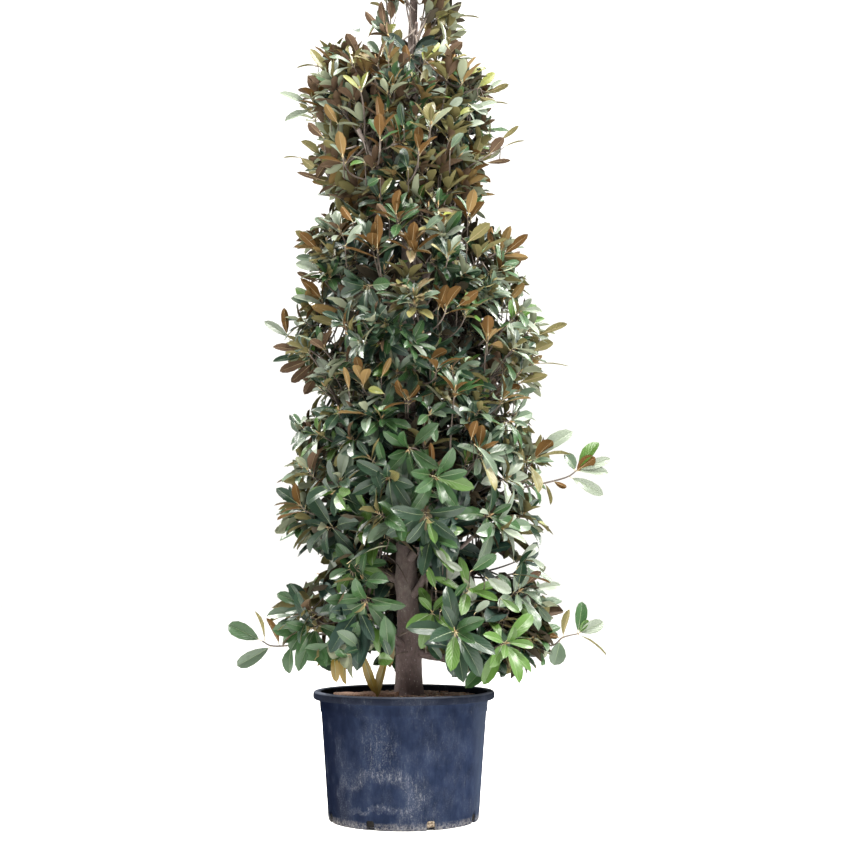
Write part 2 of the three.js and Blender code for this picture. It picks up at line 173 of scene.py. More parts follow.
def marked_spray(y, twig, leaves):
    rows = []
    for across, down, tip_across, tip_down, width, shows, colour in leaves:
        x, z, far = marked(across, down, y)
        tip_x, tip_z, _ = marked(tip_across, tip_down, y)
        wide = round(max(width * far / FOCAL_PIXELS * 1000, LEAST_WIDTH))
        rows.append((x, z, tip_x, tip_z, wide, shows, colour))
    return y, [marked(*point, y)[:2] for point in twig], rows


# Rosettes that stand out at the front: x, y and z in millimetres, azimuth and rise of their axis in
# degrees, number of leaves, their length in millimetres, and their colours above and below.
PLACED_STARS = [
    (187, -500, 721, -88, 4, 11, 172, "deep", "olive"),
    (372, -400, 675, -62, 6, 10, 140, "leafy", "pale_green"),
    (434, -200, 860, -40, 22, 8, 150, "grey", "olive"),
    (251, -200, 938, -60, 2, 7, 155, "pale", "olive"),
    (359, -300, 1091, -50, -12, 9, 150, "grey", "olive"),
    (107, -350, 784, -100, 12, 7, 115, "leafy", "pale_green"),
    (425, -220, 945, -45, 55, 8, 130, "deep", "rust"),
    (240, -320, 868, -75, 28, 8, 130, "leafy", "olive"),
    (500, -120, 800, -30, 30, 7, 130, "grey", "olive"),
    (-351, -220, 790, -150, 28, 10, 150, "deep", "olive"),
    (-337, -260, 724, -125, -16, 9, 155, "green", "olive"),
    (-133, -420, 815, -110, -52, 9, 140, "green", "olive"),
    (-281, -250, 1097, -130, -8, 9, 145, "deep", "olive"),
    (-118, -420, 1339, -135, 34, 8, 120, "deep", "olive"),
    (20, -460, 1363, -115, -32, 9, 130, "green", "rust"),
    (121, -460, 1262, -50, -26, 9, 140, "green", "olive"),
    (89, -470, 1120, -70, -40, 8, 145, "deep", "olive"),
    (-52, -450, 1263, -95, -28, 8, 130, "deep", "olive"),
    (191, -420, 1588, -75, 62, 9, 115, "green", "rust"),
    (389, -250, 1281, -42, 18, 9, 130, "pale", "olive"),
    (299, -350, 1357, -60, 8, 9, 125, "grey", "rust"),
    (321, -320, 1138, -52, 12, 9, 135, "green", "rust"),
    (-138, -380, 1983, -125, -28, 11, 125, "deep", "rust"),
    (-118, -360, 2156, -100, 52, 9, 115, "grey", "rust"),
    (-336, -150, 1986, -160, 26, 9, 115, "olive", "tan"),
    (-20, -380, 2247, -95, 40, 9, 110, "green", "rust"),
    (26, -400, 2130, -88, 44, 9, 105, "bronze", "rust"),
]

# More of them, marked in the photo: its pixels across and down, and y, stand for x, y and z.
MARKED_STARS = [
    (380, 134, -420, -95, 84, 5, 110, "green", "rust"),
    (431, 124, -400, -80, 76, 6, 110, "olive", "olive"),
    (343, 158, -340, -125, 76, 5, 105, "grey", "rust"),
    (419, 150, -430, -88, 80, 5, 90, "deep", "rust"),
    (360, 88, -380, -110, 50, 6, 80, "lime", "pale_green"),
    (397, 216, -360, -95, 78, 6, 115, "green", "rust"),
    (378, 250, -370, -100, 80, 5, 130, "deep", "rust"),
    (416, 248, -380, -85, 76, 6, 115, "deep", "rust"),
    (471, 216, -240, -60, 78, 6, 110, "green", "rust"),
    (480, 252, -260, -55, 72, 7, 115, "green", "olive"),
    (446, 306, -400, -80, 78, 6, 120, "green", "rust"),
    (466, 312, -360, -70, 66, 7, 110, "leafy", "olive"),
    (487, 338, -340, -60, 76, 6, 110, "green", "tan"),
    (437, 366, -420, -88, 72, 7, 110, "deep", "rust"),
    (362, 380, -400, -105, 78, 6, 110, "grey", "tan"),
    (408, 398, -420, -90, 66, 7, 105, "deep", "rust"),
    (479, 448, -360, -65, 76, 6, 125, "green", "rust"),
    (503, 398, -260, -45, 60, 7, 110, "grey", "tan"),
    (322, 345, -300, -140, 62, 7, 110, "grey", "brown"),
    (308, 470, -220, -150, 58, 7, 130, "grey", "brown"),
    (300, 505, -200, -155, 50, 7, 130, "deep", "rust"),
]
Star = namedtuple("Star", "tip azimuth rise leaves length top under")
STARS = [Star(np.array(row[:3]) / 1000, *row[3:6], row[6] / 1000, *row[7:])
         for row in [*PLACED_STARS, *(marked_star(*mark) for mark in MARKED_STARS)]]

# Sprays that stand out, in millimetres: y of the upright plane that a spray lies in, its twig through
# (x, z) points, if it has one, and its leaves. A leaf has x and z of its base and of its tip, its
# width, the side it shows, and the colour of that side.
PLACED_SPRAYS = [
    (-40, [(-270, 700), (-359, 688), (-431, 655), (-508, 650), (-547, 669)], [
        (-547, 669, -680, 734, 64, "top", "green"), (-536, 668, -557, 787, 46, "edge", "deep"),
        (-480, 652, -514, 764, 34, "under", "rust"), (-508, 650, -646, 570, 56, "top", "grey"),
        (-431, 655, -453, 547, 56, "top", "green"),
    ]),
    (-60, [(420, 690), (500, 655), (573, 654), (611, 683), (672, 698)], [
        (666, 697, 694, 818, 50, "top", "green"), (672, 698, 766, 742, 52, "top", "pale"),
        (669, 694, 791, 639, 40, "edge", "pale"), (672, 698, 706, 750, 26, "top", "leafy"),
        (611, 683, 628, 791, 32, "under", "olive"), (600, 674, 579, 579, 66, "top", "grey"),
        (604, 680, 519, 704, 28, "under", "rust"),
    ]),
    (-130, [(380, 1225), (425, 1247), (543, 1272), (628, 1295), (667, 1322)], [
        (667, 1322, 742, 1440, 52, "top", "leafy"), (659, 1314, 733, 1372, 54, "under", "rust"),
        (667, 1322, 798, 1369, 40, "top", "pale"), (664, 1318, 790, 1322, 38, "top", "pale"),
        (635, 1297, 769, 1230, 46, "top", "pale"), (660, 1316, 630, 1390, 46, "top", "grey"),
        (574, 1280, 625, 1250, 22, "under", "rust"), (543, 1272, 568, 1190, 26, "edge", "deep"),
    ]),
    (-130, [(370, 1230), (430, 1270), (470, 1325), (501, 1361)], [
        (501, 1361, 568, 1440, 52, "under", "rust"), (505, 1368, 642, 1484, 60, "top", "pale"),
        (505, 1365, 633, 1412, 40, "edge", "deep"), (459, 1310, 450, 1400, 46, "under", "olive"),
    ]),
]

# More of them, marked in the photo: its pixels across and down stand for x and z, and a width
# is in pixels too.
MARKED_SPRAYS = [
    (-120, [(440, 112), (452, 100), (466, 92), (480, 88)], [
        (468, 78, 484, 66, 8, "top", "lime"), (478, 88, 495, 73, 9, "top", "lime"),
        (488, 92, 509, 86, 6, "under", "olive"), (478, 96, 497, 108, 9, "under", "olive"),
        (486, 92, 502, 79, 5, "top", "pale"), (487, 103, 508, 102, 3, "edge", "pale"),
    ]),
    (-120, [(455, 175), (468, 167), (480, 160), (490, 154)], [
        (489, 155, 502, 138, 11, "under", "brown"), (501, 140, 518, 127, 5, "under", "olive"),
        (504, 147, 523, 138, 3, "edge", "pale"), (485, 163, 511, 161, 5, "under", "brown"),
        (489, 140, 491, 120, 3, "edge", "olive"), (474, 160, 481, 138, 10, "under", "olive"),
    ]),
    (-100, [(338, 122), (328, 112), (318, 108), (308, 107)], [
        (311, 107, 280, 88, 9, "top", "pale"), (312, 110, 285, 120, 10, "top", "pale"),
        (313, 106, 312, 90, 4, "edge", "deep"), (328, 95, 308, 78, 11, "under", "brown"),
        (331, 84, 331, 60, 8, "under", "rust"), (330, 78, 311, 48, 10, "top", "olive"),
        (345, 62, 322, 43, 8, "top", "grey"), (318, 66, 297, 64, 4, "edge", "deep"),
    ]),
    (-100, [(345, 185), (332, 178), (320, 166), (306, 159)], [
        (322, 157, 304, 140, 10, "under", "olive"), (300, 157, 315, 170, 9, "under", "olive"),
        (301, 158, 284, 156, 3, "edge", "pale"), (325, 181, 298, 173, 5, "under", "brown"),
        (316, 180, 324, 165, 9, "under", "brown"),
    ]),
    (-140, [(470, 275), (484, 262), (493, 255), (500, 252)], [
        (500, 253, 509, 227, 9, "under", "tan"), (503, 255, 527, 235, 9, "under", "rust"),
        (500, 256, 528, 258, 8, "under", "tan"), (495, 253, 489, 228, 9, "under", "rust"),
        (488, 262, 470, 232, 9, "under", "olive"),
    ]),
    (-140, [(478, 345), (492, 335), (506, 325), (516, 320)], [
        (503, 302, 507, 282, 9, "under", "rust"), (508, 302, 524, 284, 8, "under", "tan"),
        (512, 322, 514, 299, 12, "top", "leafy"), (516, 322, 535, 303, 10, "top", "leafy"),
        (520, 325, 544, 317, 7, "top", "leafy"), (540, 335, 566, 323, 8, "under", "olive"),
        (533, 352, 552, 341, 12, "under", "olive"), (533, 364, 568, 361, 3, "edge", "pale"),
        (518, 383, 547, 375, 8, "under", "olive"), (500, 396, 520, 385, 9, "under", "rust"),
        (514, 400, 535, 388, 9, "top", "grey"),
    ]),
    (-120, [(345, 300), (332, 290), (322, 276), (317, 262)], [
        (318, 251, 298, 230, 9, "under", "olive"), (320, 262, 296, 255, 8, "top", "grey"),
        (318, 282, 298, 272, 6, "under", "brown"), (316, 301, 304, 278, 9, "under", "rust"),
        (315, 310, 292, 297, 8, "top", "grey"), (318, 319, 302, 303, 8, "under", "olive"),
    ]),
    (-120, [(345, 372), (325, 360), (306, 347), (291, 336)], [
        (287, 336, 284, 309, 8, "under", "rust"), (290, 338, 265, 321, 9, "top", "pale"),
        (308, 351, 274, 346, 9, "under", "brown"), (305, 356, 273, 360, 8, "top", "deep"),
        (309, 360, 280, 372, 10, "under", "brown"), (313, 363, 291, 383, 10, "under", "brown"),
        (319, 366, 305, 397, 10, "under", "brown"), (326, 350, 318, 330, 9, "under", "rust"),
    ]),
    (-150, [(335, 630), (322, 622), (312, 617), (303, 611)], [
        (303, 612, 266, 613, 12, "top", "grey"), (305, 606, 277, 592, 11, "top", "green"),
        (310, 602, 289, 582, 11, "top", "deep"), (300, 618, 275, 630, 13, "top", "deep"),
        (306, 626, 290, 650, 13, "top", "green"), (312, 612, 300, 590, 10, "under", "olive"),
    ]),
    (-150, [(490, 618), (506, 610), (520, 600), (530, 592)], [
        (530, 590, 561, 583, 9, "top", "pale"), (528, 594, 548, 605, 9, "top", "grey"),
        (518, 587, 523, 562, 11, "top", "deep"), (524, 586, 540, 571, 9, "under", "brown"),
        (512, 592, 500, 573, 10, "top", "green"), (516, 602, 532, 616, 10, "top", "leafy"),
        (536, 604, 551, 622, 8, "top", "grey"),
    ]),
    (-80, [(398, 78), (392, 62), (388, 46), (389, 31)], [
        (381, 30, 365, 14, 8, "under", "brown"), (385, 27, 380, 4, 8, "under", "brown"),
        (391, 21, 392, 3, 9, "under", "brown"), (396, 16, 393, -6, 10, "top", "pale"),
        (385, 54, 387, 26, 10, "under", "olive"), (392, 49, 400, 31, 11, "under", "olive"),
        (392, 34, 393, 24, 9, "top", "lime"),
    ]),
    (-220, [(401, 104), (399, 92), (397, 80), (393, 70)], [
        (391, 69, 395, 47, 12, "under", "olive"), (403, 74, 404, 54, 13, "under", "brown"),
        (410, 62, 404, 47, 9, "under", "rust"), (420, 83, 403, 82, 9, "under", "brown"),
    ]),
    (-220, [(381, 104), (379, 90), (374, 78), (366, 62)], [
        (372, 69, 364, 46, 9, "under", "brown"), (358, 56, 348, 35, 11, "under", "brown"),
        (381, 57, 368, 41, 9, "top", "grey"), (363, 67, 353, 60, 9, "top", "lime"),
        (368, 85, 349, 83, 8, "top", "lime"), (386, 80, 369, 68, 7, "under", "rust"),
    ]),
    (-160, [(428, 108), (432, 93), (436, 78), (438, 64)], [
        (437, 64, 430, 41, 9, "under", "olive"), (437, 62, 447, 39, 8, "top", "pale"),
        (440, 63, 461, 43, 11, "under", "brown"), (438, 73, 456, 56, 11, "under", "rust"),
        (435, 84, 454, 67, 12, "under", "brown"), (434, 89, 451, 90, 8, "under", "olive"),
        (433, 78, 424, 66, 9, "top", "pale"),
    ]),
    (-50, [(420, 52), (432, 42), (444, 32), (452, 22)], [
        (456, 17, 479, 15, 3, "edge", "olive"), (448, 38, 462, 37, 3, "edge", "deep"),
        (448, 29, 451, 11, 13, "under", "olive"), (440, 31, 441, 14, 11, "top", "olive"),
    ]),
    (-400, [], [
        (380, 128, 379, 98, 10, "under", "rust"), (430, 124, 430, 101, 14, "top", "olive"),
        (418, 148, 419, 128, 10, "under", "rust"), (343, 157, 339, 133, 11, "under", "tan"),
        (380, 178, 368, 185, 8, "top", "green"), (365, 162, 350, 164, 8, "top", "leafy"),
        (404, 128, 399, 104, 8, "top", "deep"), (450, 150, 462, 132, 9, "top", "grey"),
        (408, 170, 402, 147, 9, "top", "deep"),
    ]),
    (-420, [], [
        (396, 214, 397, 191, 11, "under", "rust"), (377, 248, 379, 216, 10, "under", "rust"),
        (412, 247, 414, 223, 12, "under", "rust"), (389, 219, 377, 205, 8, "under", "brown"),
        (468, 216, 474, 191, 11, "under", "tan"), (467, 243, 489, 224, 12, "under", "olive"),
        (438, 310, 447, 286, 12, "under", "rust"), (457, 307, 478, 292, 10, "under", "rust"),
        (488, 336, 488, 316, 12, "under", "rust"), (430, 360, 446, 349, 11, "under", "rust"),
        (362, 376, 356, 357, 9, "under", "rust"), (381, 378, 391, 358, 6, "under", "tan"),
        (349, 391, 346, 367, 6, "under", "tan"), (385, 394, 369, 388, 8, "top", "lime"),
        (405, 400, 396, 381, 9, "under", "rust"), (408, 400, 419, 385, 8, "under", "rust"),
        (471, 440, 476, 421, 10, "under", "rust"), (357, 355, 356, 334, 13, "top", "pale"),
        (424, 232, 441, 214, 10, "top", "grey"), (353, 222, 341, 208, 9, "under", "rust"),
        (345, 246, 362, 224, 9, "top", "pale"),
    ]),
    (-440, [], [
        (433, 470, 431, 443, 6, "under", "rust"), (433, 468, 450, 460, 8, "under", "brown"),
        (474, 444, 502, 472, 11, "top", "grey"), (430, 490, 461, 508, 12, "top", "green"),
        (408, 446, 430, 478, 10, "top", "green"), (386, 472, 377, 440, 9, "top", "green"),
    ]),
    (-360, [], [
        (352, 571, 338, 592, 11, "top", "leafy"), (355, 572, 361, 599, 11, "top", "leafy"),
        (353, 572, 347, 598, 9, "top", "green"), (357, 570, 377, 588, 11, "top", "green"),
        (357, 568, 384, 574, 11, "top", "leafy"), (350, 569, 329, 577, 10, "top", "green"),
        (358, 566, 386, 561, 10, "top", "green"), (355, 566, 366, 551, 9, "top", "leafy"),
    ]),
    (-420, [], [
        (427, 572, 424, 546, 9, "top", "leafy"), (436, 590, 428, 568, 8, "top", "leafy"),
        (447, 566, 438, 549, 7, "top", "pale"), (470, 572, 496, 555, 12, "top", "green"),
        (485, 577, 511, 593, 12, "top", "pale"), (452, 600, 466, 583, 7.2, "top", "green"),
        (500, 598, 519, 612, 7.7, "top", "leafy"), (474, 614, 488, 600, 8, "top", "pale"),
        (440, 612, 452, 598, 8, "top", "leafy"), (443, 560, 462, 570, 7, "top", "pale"),
    ]),
    (-220, [], [
        (318, 250, 301, 233, 10, "under", "rust"), (326, 262, 314, 247, 9, "under", "tan"),
        (322, 272, 296, 262, 10, "top", "pale"), (322, 300, 306, 282, 10, "under", "rust"),
        (326, 306, 294, 294, 9, "top", "pale"), (350, 318, 312, 306, 11, "under", "tan"),
        (345, 327, 312, 317, 9, "under", "olive"), (334, 330, 318, 345, 9, "under", "brown"),
        (330, 232, 316, 216, 9, "top", "grey"),
    ]),
    (-240, [], [
        (470, 112, 497, 100, 9, "top", "pale"), (468, 104, 488, 113, 8, "top", "pale"),
        (456, 118, 474, 106, 8, "top", "lime"), (462, 128, 484, 122, 9, "top", "pale"),
        (446, 112, 462, 98, 9, "top", "pale"), (330, 110, 316, 96, 9, "top", "pale"),
        (338, 124, 325, 106, 9, "under", "tan"), (324, 138, 308, 125, 9, "under", "brown"),
        (350, 100, 341, 82, 9, "top", "grey"),
    ]),
    (-300, [], [
        (426, 640, 441, 659, 10, "top", "deep"), (430, 634, 452, 652, 10, "top", "green"),
    ]),
    # Leaves behind the trunk, two of them in the painted shade colour.
    (60, [], [
        (401, 266, 395, 238, 14, "top", "deep"), (394, 262, 404, 240, 12, "top", "shade"),
        (440, 340, 437, 316, 14, "top", "deep"), (447, 336, 432, 322, 13, "top", "shade"),
        (486, 246, 492, 226, 12, "top", "deep"),
    ]),
]
SPRAYS = [*PLACED_SPRAYS, *(marked_spray(*mark) for mark in MARKED_SPRAYS)]

# Yellowed leaves that hang at the trunk's foot: base, tip and width.
YELLOWED = [
    ((-0.160, -0.205, 0.655), (-0.106, -0.215, 0.478), 0.036),
    ((-0.048, -0.190, 0.650), (-0.114, -0.212, 0.474), 0.037),
    ((-0.062, -0.120, 0.745), (-0.042, -0.130, 0.575), 0.036),
    ((-0.256, -0.250, 0.640), (-0.242, -0.270, 0.530), 0.034),
    ((-0.226, -0.255, 0.645), (-0.213, -0.275, 0.522), 0.032),
    ((-0.165, -0.300, 0.800), (-0.150, -0.330, 0.885), 0.030),
]
# The pot's worst scuffs lie along arcs on its front: x and z of their centres, how much they are
# squashed upright, their radius, and half the width of the band.
SCUFFS = [(-0.095, 0.090, 1.30, 0.145, 0.045), (-0.105, -0.050, 1.50, 0.200, 0.022)]
SCUFFED_SPOT = (-0.078, 0.290, 1.6, 0.13)  # x, z, how much it is squashed sideways, and its radius
# Thin bare twigs at the trunk.
BARE_TWIGS = [
    [(-0.041, -0.062, 0.605), (-0.022, -0.070, 0.622), (0.016, -0.060, 0.628)],
    [(-0.090, -0.030, 1.010), (-0.074, -0.062, 0.998), (-0.023, -0.070, 0.960), (0.031, -0.062, 0.856)],
    [(-0.127, -0.205, 0.580), (-0.094, -0.205, 0.579)],
]
# Chips on the soil, with ranges of their length, width and thickness, and slabs of bark: place,
# length, width, thickness, and turn.
CHIPS = 150
CHIP_SIZES = [(0.008, 0.030), (0.006, 0.014), (0.004, 0.008)]
SLABS = [((-0.135, -0.120), (0.240, 0.085, 0.022), math.radians(4)),
         ((0.150, -0.180), (0.055, 0.024, 0.010), math.radians(-20))]
# The bough that shows to the right of the trunk, with its forks: points, and radii at both ends.
SHOWN_BOUGH = [
    ([(0.030, -0.020, 0.840), (0.054, -0.045, 0.870), (0.116, -0.075, 0.975), (0.163, -0.095, 0.993)],
     0.017, 0.010),
    ([(0.163, -0.095, 0.993), (0.190, -0.120, 1.060), (0.222, -0.160, 1.150)], 0.010, 0.007),
    ([(0.163, -0.095, 0.993), (0.215, -0.120, 1.022), (0.275, -0.150, 1.075), (0.330, -0.200, 1.110)],
     0.009, 0.006),
]


# ------------------------------------------------------------------ numbers and vectors

def unit(v):
    return v / np.maximum(np.linalg.norm(v, axis=-1, keepdims=True), 1e-12)


def level(azimuth, radius, z):
    return np.array([radius * math.cos(azimuth), radius * math.sin(azimuth), z])


def lerp(a, b, t):
    return a + (b - a) * t


def smoothstep(x, low, high):
    t = np.clip((x - low) / (high - low), 0, 1)
    return t * t * (3 - 2 * t)


def bezier(a, b, c, count):
    t = np.linspace(0, 1, count)[:, None]
    return (1 - t) ** 2 * a + 2 * t * (1 - t) * b + t * t * c


def point_along(points, share):
    place = share * (len(points) - 1)
    i = min(int(place), len(points) - 2)
    return lerp(points[i], points[i + 1], place - i)


def hermite(t):
    """The weights of a smooth cubic's start and end, and of the slopes there."""
    return (2 * t ** 3 - 3 * t ** 2 + 1, 3 * t ** 2 - 2 * t ** 3,
            t ** 3 - 2 * t ** 2 + t, t ** 3 - t ** 2)


def smooth_line(points, count):
    """A smooth line through the points."""
    points = np.asarray(points, float)
    place = np.linspace(0, len(points) - 1, count)
    slopes = np.gradient(points, axis=0)
    i = np.clip(place.astype(int), 0, len(points) - 2)
    a, b, c, d = hermite((place - i)[:, None])
    return a * points[i] + b * points[i + 1] + c * slopes[i] + d * slopes[i + 1]


def turned(v, axis, angle):
    """v turned about a unit axis."""
    c, s = math.cos(angle), math.sin(angle)
    return v * c + np.cross(axis, v) * s + axis * np.dot(axis, v) * (1 - c)


def square_to(axis):
    """Some unit vector square to the axis."""
    other = np.array([1.0, 0, 0]) if abs(axis[0]) < 0.8 else np.array([0, 1.0, 0])
    return unit(np.cross(axis, other))


def lattice(cells, seed):
    """A repeatable number from -1 to 1 for each whole-numbered cell."""
    h = cells.astype(np.int64) @ np.array([374761393, 668265263, 2147483647]) + seed * 974634777
    h = (h ^ (h >> 13)) * 1274126177 & 0xFFFFFFFF
    return ((h ^ (h >> 16)) & 0xFFFF) / 32767.5 - 1


def noise(points, size, seed=0):
    """Smooth noise from -1 to 1, with lumps of about the given size."""
    p = np.asarray(points) / size
    cell = np.floor(p)
    f = p - cell
    f = f * f * (3 - 2 * f)
    total = np.zeros(p.shape[:-1])
    for corner in np.ndindex(2, 2, 2):
        share = np.prod(np.where(corner, f, 1 - f), axis=-1)
        total += share * lattice(cell + corner, seed)
    return total


# ------------------------------------------------------------------ meshes

def add_object(name, data):
    piece = bpy.data.objects.new(name, data)
    bpy.context.scene.collection.objects.link(piece)
    return piece


def mesh_object(name, vertices, faces, face_materials=None, materials=(), smooth=True, uv=None):
    """A mesh object from arrays. Faces are rows of three or four corners."""
    vertices = np.asarray(vertices, np.float32)
    faces = np.asarray(faces, np.int32)
    count, sides = faces.shape
    mesh = bpy.data.meshes.new(name)
    mesh.vertices.add(len(vertices))
    mesh.vertices.foreach_set("co", vertices.ravel())
    mesh.loops.add(count * sides)
    mesh.loops.foreach_set("vertex_index", faces.ravel())
    mesh.polygons.add(count)
    mesh.polygons.foreach_set("loop_start", np.arange(count, dtype=np.int32) * sides)
    mesh.polygons.foreach_set("use_smooth", np.full(count, smooth))
    if face_materials is not None:
        mesh.polygons.foreach_set("material_index", np.asarray(face_materials, np.int32))
    if uv is not None:
        layer = mesh.uv_layers.new(name="blade")
        layer.data.foreach_set("uv", np.asarray(uv, np.float32)[faces.ravel()].ravel())
    mesh.update(calc_edges=True)
    for material in materials:
        mesh.materials.append(material)
    return add_object(name, mesh)


class Pile:
    """Meshes gathered into one: vertices, faces with as many corners, and a material number for each."""

    def __init__(self):
        self.vertices, self.faces, self.kinds, self.uv, self.count = [], [], [], [], 0

    def add(self, vertices, faces, kind=0, uv=None):
        self.vertices.append(vertices)
        self.faces.append(faces + self.count)
        self.kinds.append(np.broadcast_to(kind, len(faces)))
        if uv is not None:
            self.uv.append(uv)
        self.count += len(vertices)

    def piece(self, name, materials, smooth=True):
        return mesh_object(name, np.concatenate(self.vertices), np.concatenate(self.faces),
                           np.concatenate(self.kinds), materials, smooth,
                           uv=np.concatenate(self.uv) if self.uv else None)


def grid_faces(rows, columns, closed=False):
    """Quads over a grid of vertices, row by row; closed joins the last column to the first."""
    i, j = np.meshgrid(np.arange(rows - 1), np.arange(columns if closed else columns - 1), indexing="ij")
    i, j = i.ravel(), j.ravel()
    k = (j + 1) % columns
    return np.stack([i * columns + j, i * columns + k, (i + 1) * columns + k, (i + 1) * columns + j], 1)


def tube(points, radii, sides, closed=True):
    """Vertices and quads of a tube along the points. Closed draws its ends in to a point."""
    points = np.asarray(points, float)
    radii = np.broadcast_to(radii, len(points)).astype(float)
    tangents = unit(np.gradient(points, axis=0))
    side = square_to(tangents[0])
    rings = []
    angles = np.arange(sides) * 2 * math.pi / sides
    for point, radius, tangent in zip(points, radii, tangents):
        side = unit(side - tangent * np.dot(side, tangent))
        other = np.cross(tangent, side)
        rings.append(point + radius * (np.cos(angles)[:, None] * side + np.sin(angles)[:, None] * other))
    if closed:
        rings = [np.repeat(points[:1], sides, 0), *rings, np.repeat(points[-1:], sides, 0)]
    return np.concatenate(rings), grid_faces(len(rings), sides, closed=True)


def lathe(profile, sides):
    """A turned shape from (radius, height) points that run out along its underside and up its outside."""
    angles = np.arange(sides) * 2 * math.pi / sides
    r, z = np.array(profile).T
    rings = np.stack([r[:, None] * np.cos(angles), r[:, None] * np.sin(angles),
                      np.repeat(z[:, None], sides, 1)], -1)
    return rings.reshape(-1, 3), grid_faces(len(profile), sides, closed=True)


def finish(piece, slot, *nodes):
    """The piece's part in the frame: what it moves with, and the solids it stands for. Its kind, the slot,
    is not used.
    """
    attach(piece, "root")
    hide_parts(*nodes)


# ------------------------------------------------------------------ the crown's plan

def trunk_at(z):
    """The trunk's centre at a height: a smooth line through the route."""
    heights = TRUNK_ROUTE[:, 2]
    slopes = np.gradient(TRUNK_ROUTE, heights, axis=0)
    i = int(np.clip(np.searchsorted(heights, z) - 1, 0, len(heights) - 2))
    step = heights[i + 1] - heights[i]
    a, b, c, d = hermite((z - heights[i]) / step)
    point = a * TRUNK_ROUTE[i] + b * TRUNK_ROUTE[i + 1] + step * (c * slopes[i] + d * slopes[i + 1])
    return np.array([point[0], point[1], z])


def trunk_radius(z):
    taper = lerp(RADIUS_AT_SOIL, RADIUS_AT_TIP, (z - SOIL_TOP) / (TRUNK_TIP - SOIL_TOP))
    thick = FOOT_SWELL * (1 - smoothstep(z, FOOT_FROM, FOOT_TO))
    return taper + thick + FLARE_SWELL * np.exp((SOIL_TOP - z) / FLARE_HEIGHT)


def reach_at(z, azimuth, outline=OUTLINE):
    """How far leaf tips reach at a height, towards an azimuth."""
    left = np.interp(z, outline[:, 0], outline[:, 1])
    right = np.interp(z, outline[:, 0], outline[:, 2])
    return lerp(left, right, (np.cos(azimuth) + 1) / 2)


def plan_mass(height, azimuth, number):
    reach = reach_at(height, azimuth, PLAN)
    up = (height - LOWEST) / (HIGHEST - LOWEST)
    mass = {
        "name": f"foliage_{number:02d}", "seed": MASS_SEED * number, "height": height,
        "azimuth": azimuth, "half": math.sqrt(MASS_FACE) / 2,
        "middle": level(azimuth, MIDDLE * reach, height),
        "heart": level(azimuth, STEM_TO * reach, height),
        "shoots": round(lerp(LOW_SHOOTS, HIGH_SHOOTS, smoothstep(height, LARGE_LEAVES, SMALL_LEAVES))),
    }
    fork = trunk_at(max(height - lerp(LOW_FORK, HIGH_FORK, up) * reach, LOWEST_FORK))
    if height < HIGHEST_BOUGH:
        end = level(azimuth, STEM_FROM * reach, lerp(fork[2], height, BOUGH_RISE))
        control = lerp(fork, end, 0.5) - BOUGH_SAG * np.linalg.norm(end - fork) * UP
        mass["bough"] = f"bough_{number:02d}"
        mass["limb"] = bezier(fork, control, end, 9)
        heading = unit(mass["limb"][-1] - mass["limb"][-2])
        mass["root"] = end
    else:
        heading = unit(mass["heart"] - fork)
        mass["limb"] = fork[None, :]
        mass["root"] = fork
    elbow = mass["root"] + heading * 0.5 * np.linalg.norm(mass["heart"] - mass["root"])
    mass["stem"] = bezier(mass["root"], elbow, mass["heart"], 9)
    return mass


def plan_leader():
    root = trunk_at(TRUNK_TIP)
    half = (PLAN[-1, 0] - TRUNK_TIP) / 2
    heart = root + half * UP
    return {
        "name": "foliage_leader", "seed": LEADER_SEED, "height": lerp(root[2], heart[2], LEADER_LOW),
        "azimuth": 0.0, "half": half, "middle": heart, "heart": heart, "root": root,
        "limb": root[None, :], "stem": np.linspace(root, heart, 5), "shoots": LEADER_SHOOTS,
        "on_top": True,
    }


def plan_crown():
    masses = []
    height = LOWEST
    while height < HIGHEST:
        masses.append(plan_mass(height, FIRST_TURN + GOLDEN_ANGLE * len(masses), len(masses) + 1))
        height += MASS_FACE / (2 * math.pi * reach_at(height, math.pi / 2, PLAN))
    masses.append(plan_leader())
    return masses


# ------------------------------------------------------------------ shoots

# Angles are in degrees. Pairs hold at the crown's foot and at its tip, unless they are called ranges.
SHOOT_RISE, RISE_POWER, RISE_WAVER = (8, 74), 0.85, 15
TURN_WAVER = 0.35  # in radians
SIDE_REACH, SIDE_FROM = (0.4, 1.0), (0.25, 0.8)  # ranges: in leaf lengths, and shares of the shoot
SIDE_SPREAD, SIDE_LIFT, SIDE_CURL = 0.85, 0.25, 0.2
BELOW_TOP, LEAST_REACH = 0.08, 0.035  # of shoot tips
# A rosette that stands out keeps other tips away, as seen from the front: all those within CROWDED of
# its leaf length, and within HIDING those before it. Tips well behind it are left alone.
CROWDED, HIDING, BEFORE, BEHIND = 0.5, 0.9, 0.04, 0.16
LEAF_HIDING, LEAF_BEFORE = 0.62, 0.03  # the same for the middle of another shoot's leaf


def share_up(z):
    """0 at the lowest mass, 1 at the highest."""
    return float(np.clip((z - LOWEST) / (HIGHEST - LOWEST), 0, 1))


def leaf_length(z):
    return lerp(LARGE_LEAF, SMALL_LEAF, smoothstep(z, LARGE_LEAVES, SMALL_LEAVES))


def seen_at(p):
    """Where a point stands before the plane of the trunk, seen from the front."""
    q = EYE + (p - EYE) * (EYE[1] / (EYE[1] - p[1]))
    return q[0], q[2]


STARS_SEEN = [seen_at(star.tip) for star in STARS]


def stars_about(p):
    """Each rosette that stands out, and how far from it the point is, seen from the front."""
    x, z = seen_at(p)
    return [(star, math.hypot(x - at_x, z - at_z)) for star, (at_x, at_z) in zip(STARS, STARS_SEEN)]


def whole_limb(mass):
    """The mass's bough, if it has one, and its stem, as one line."""
    return np.concatenate([mass["limb"], mass["stem"][1:]])


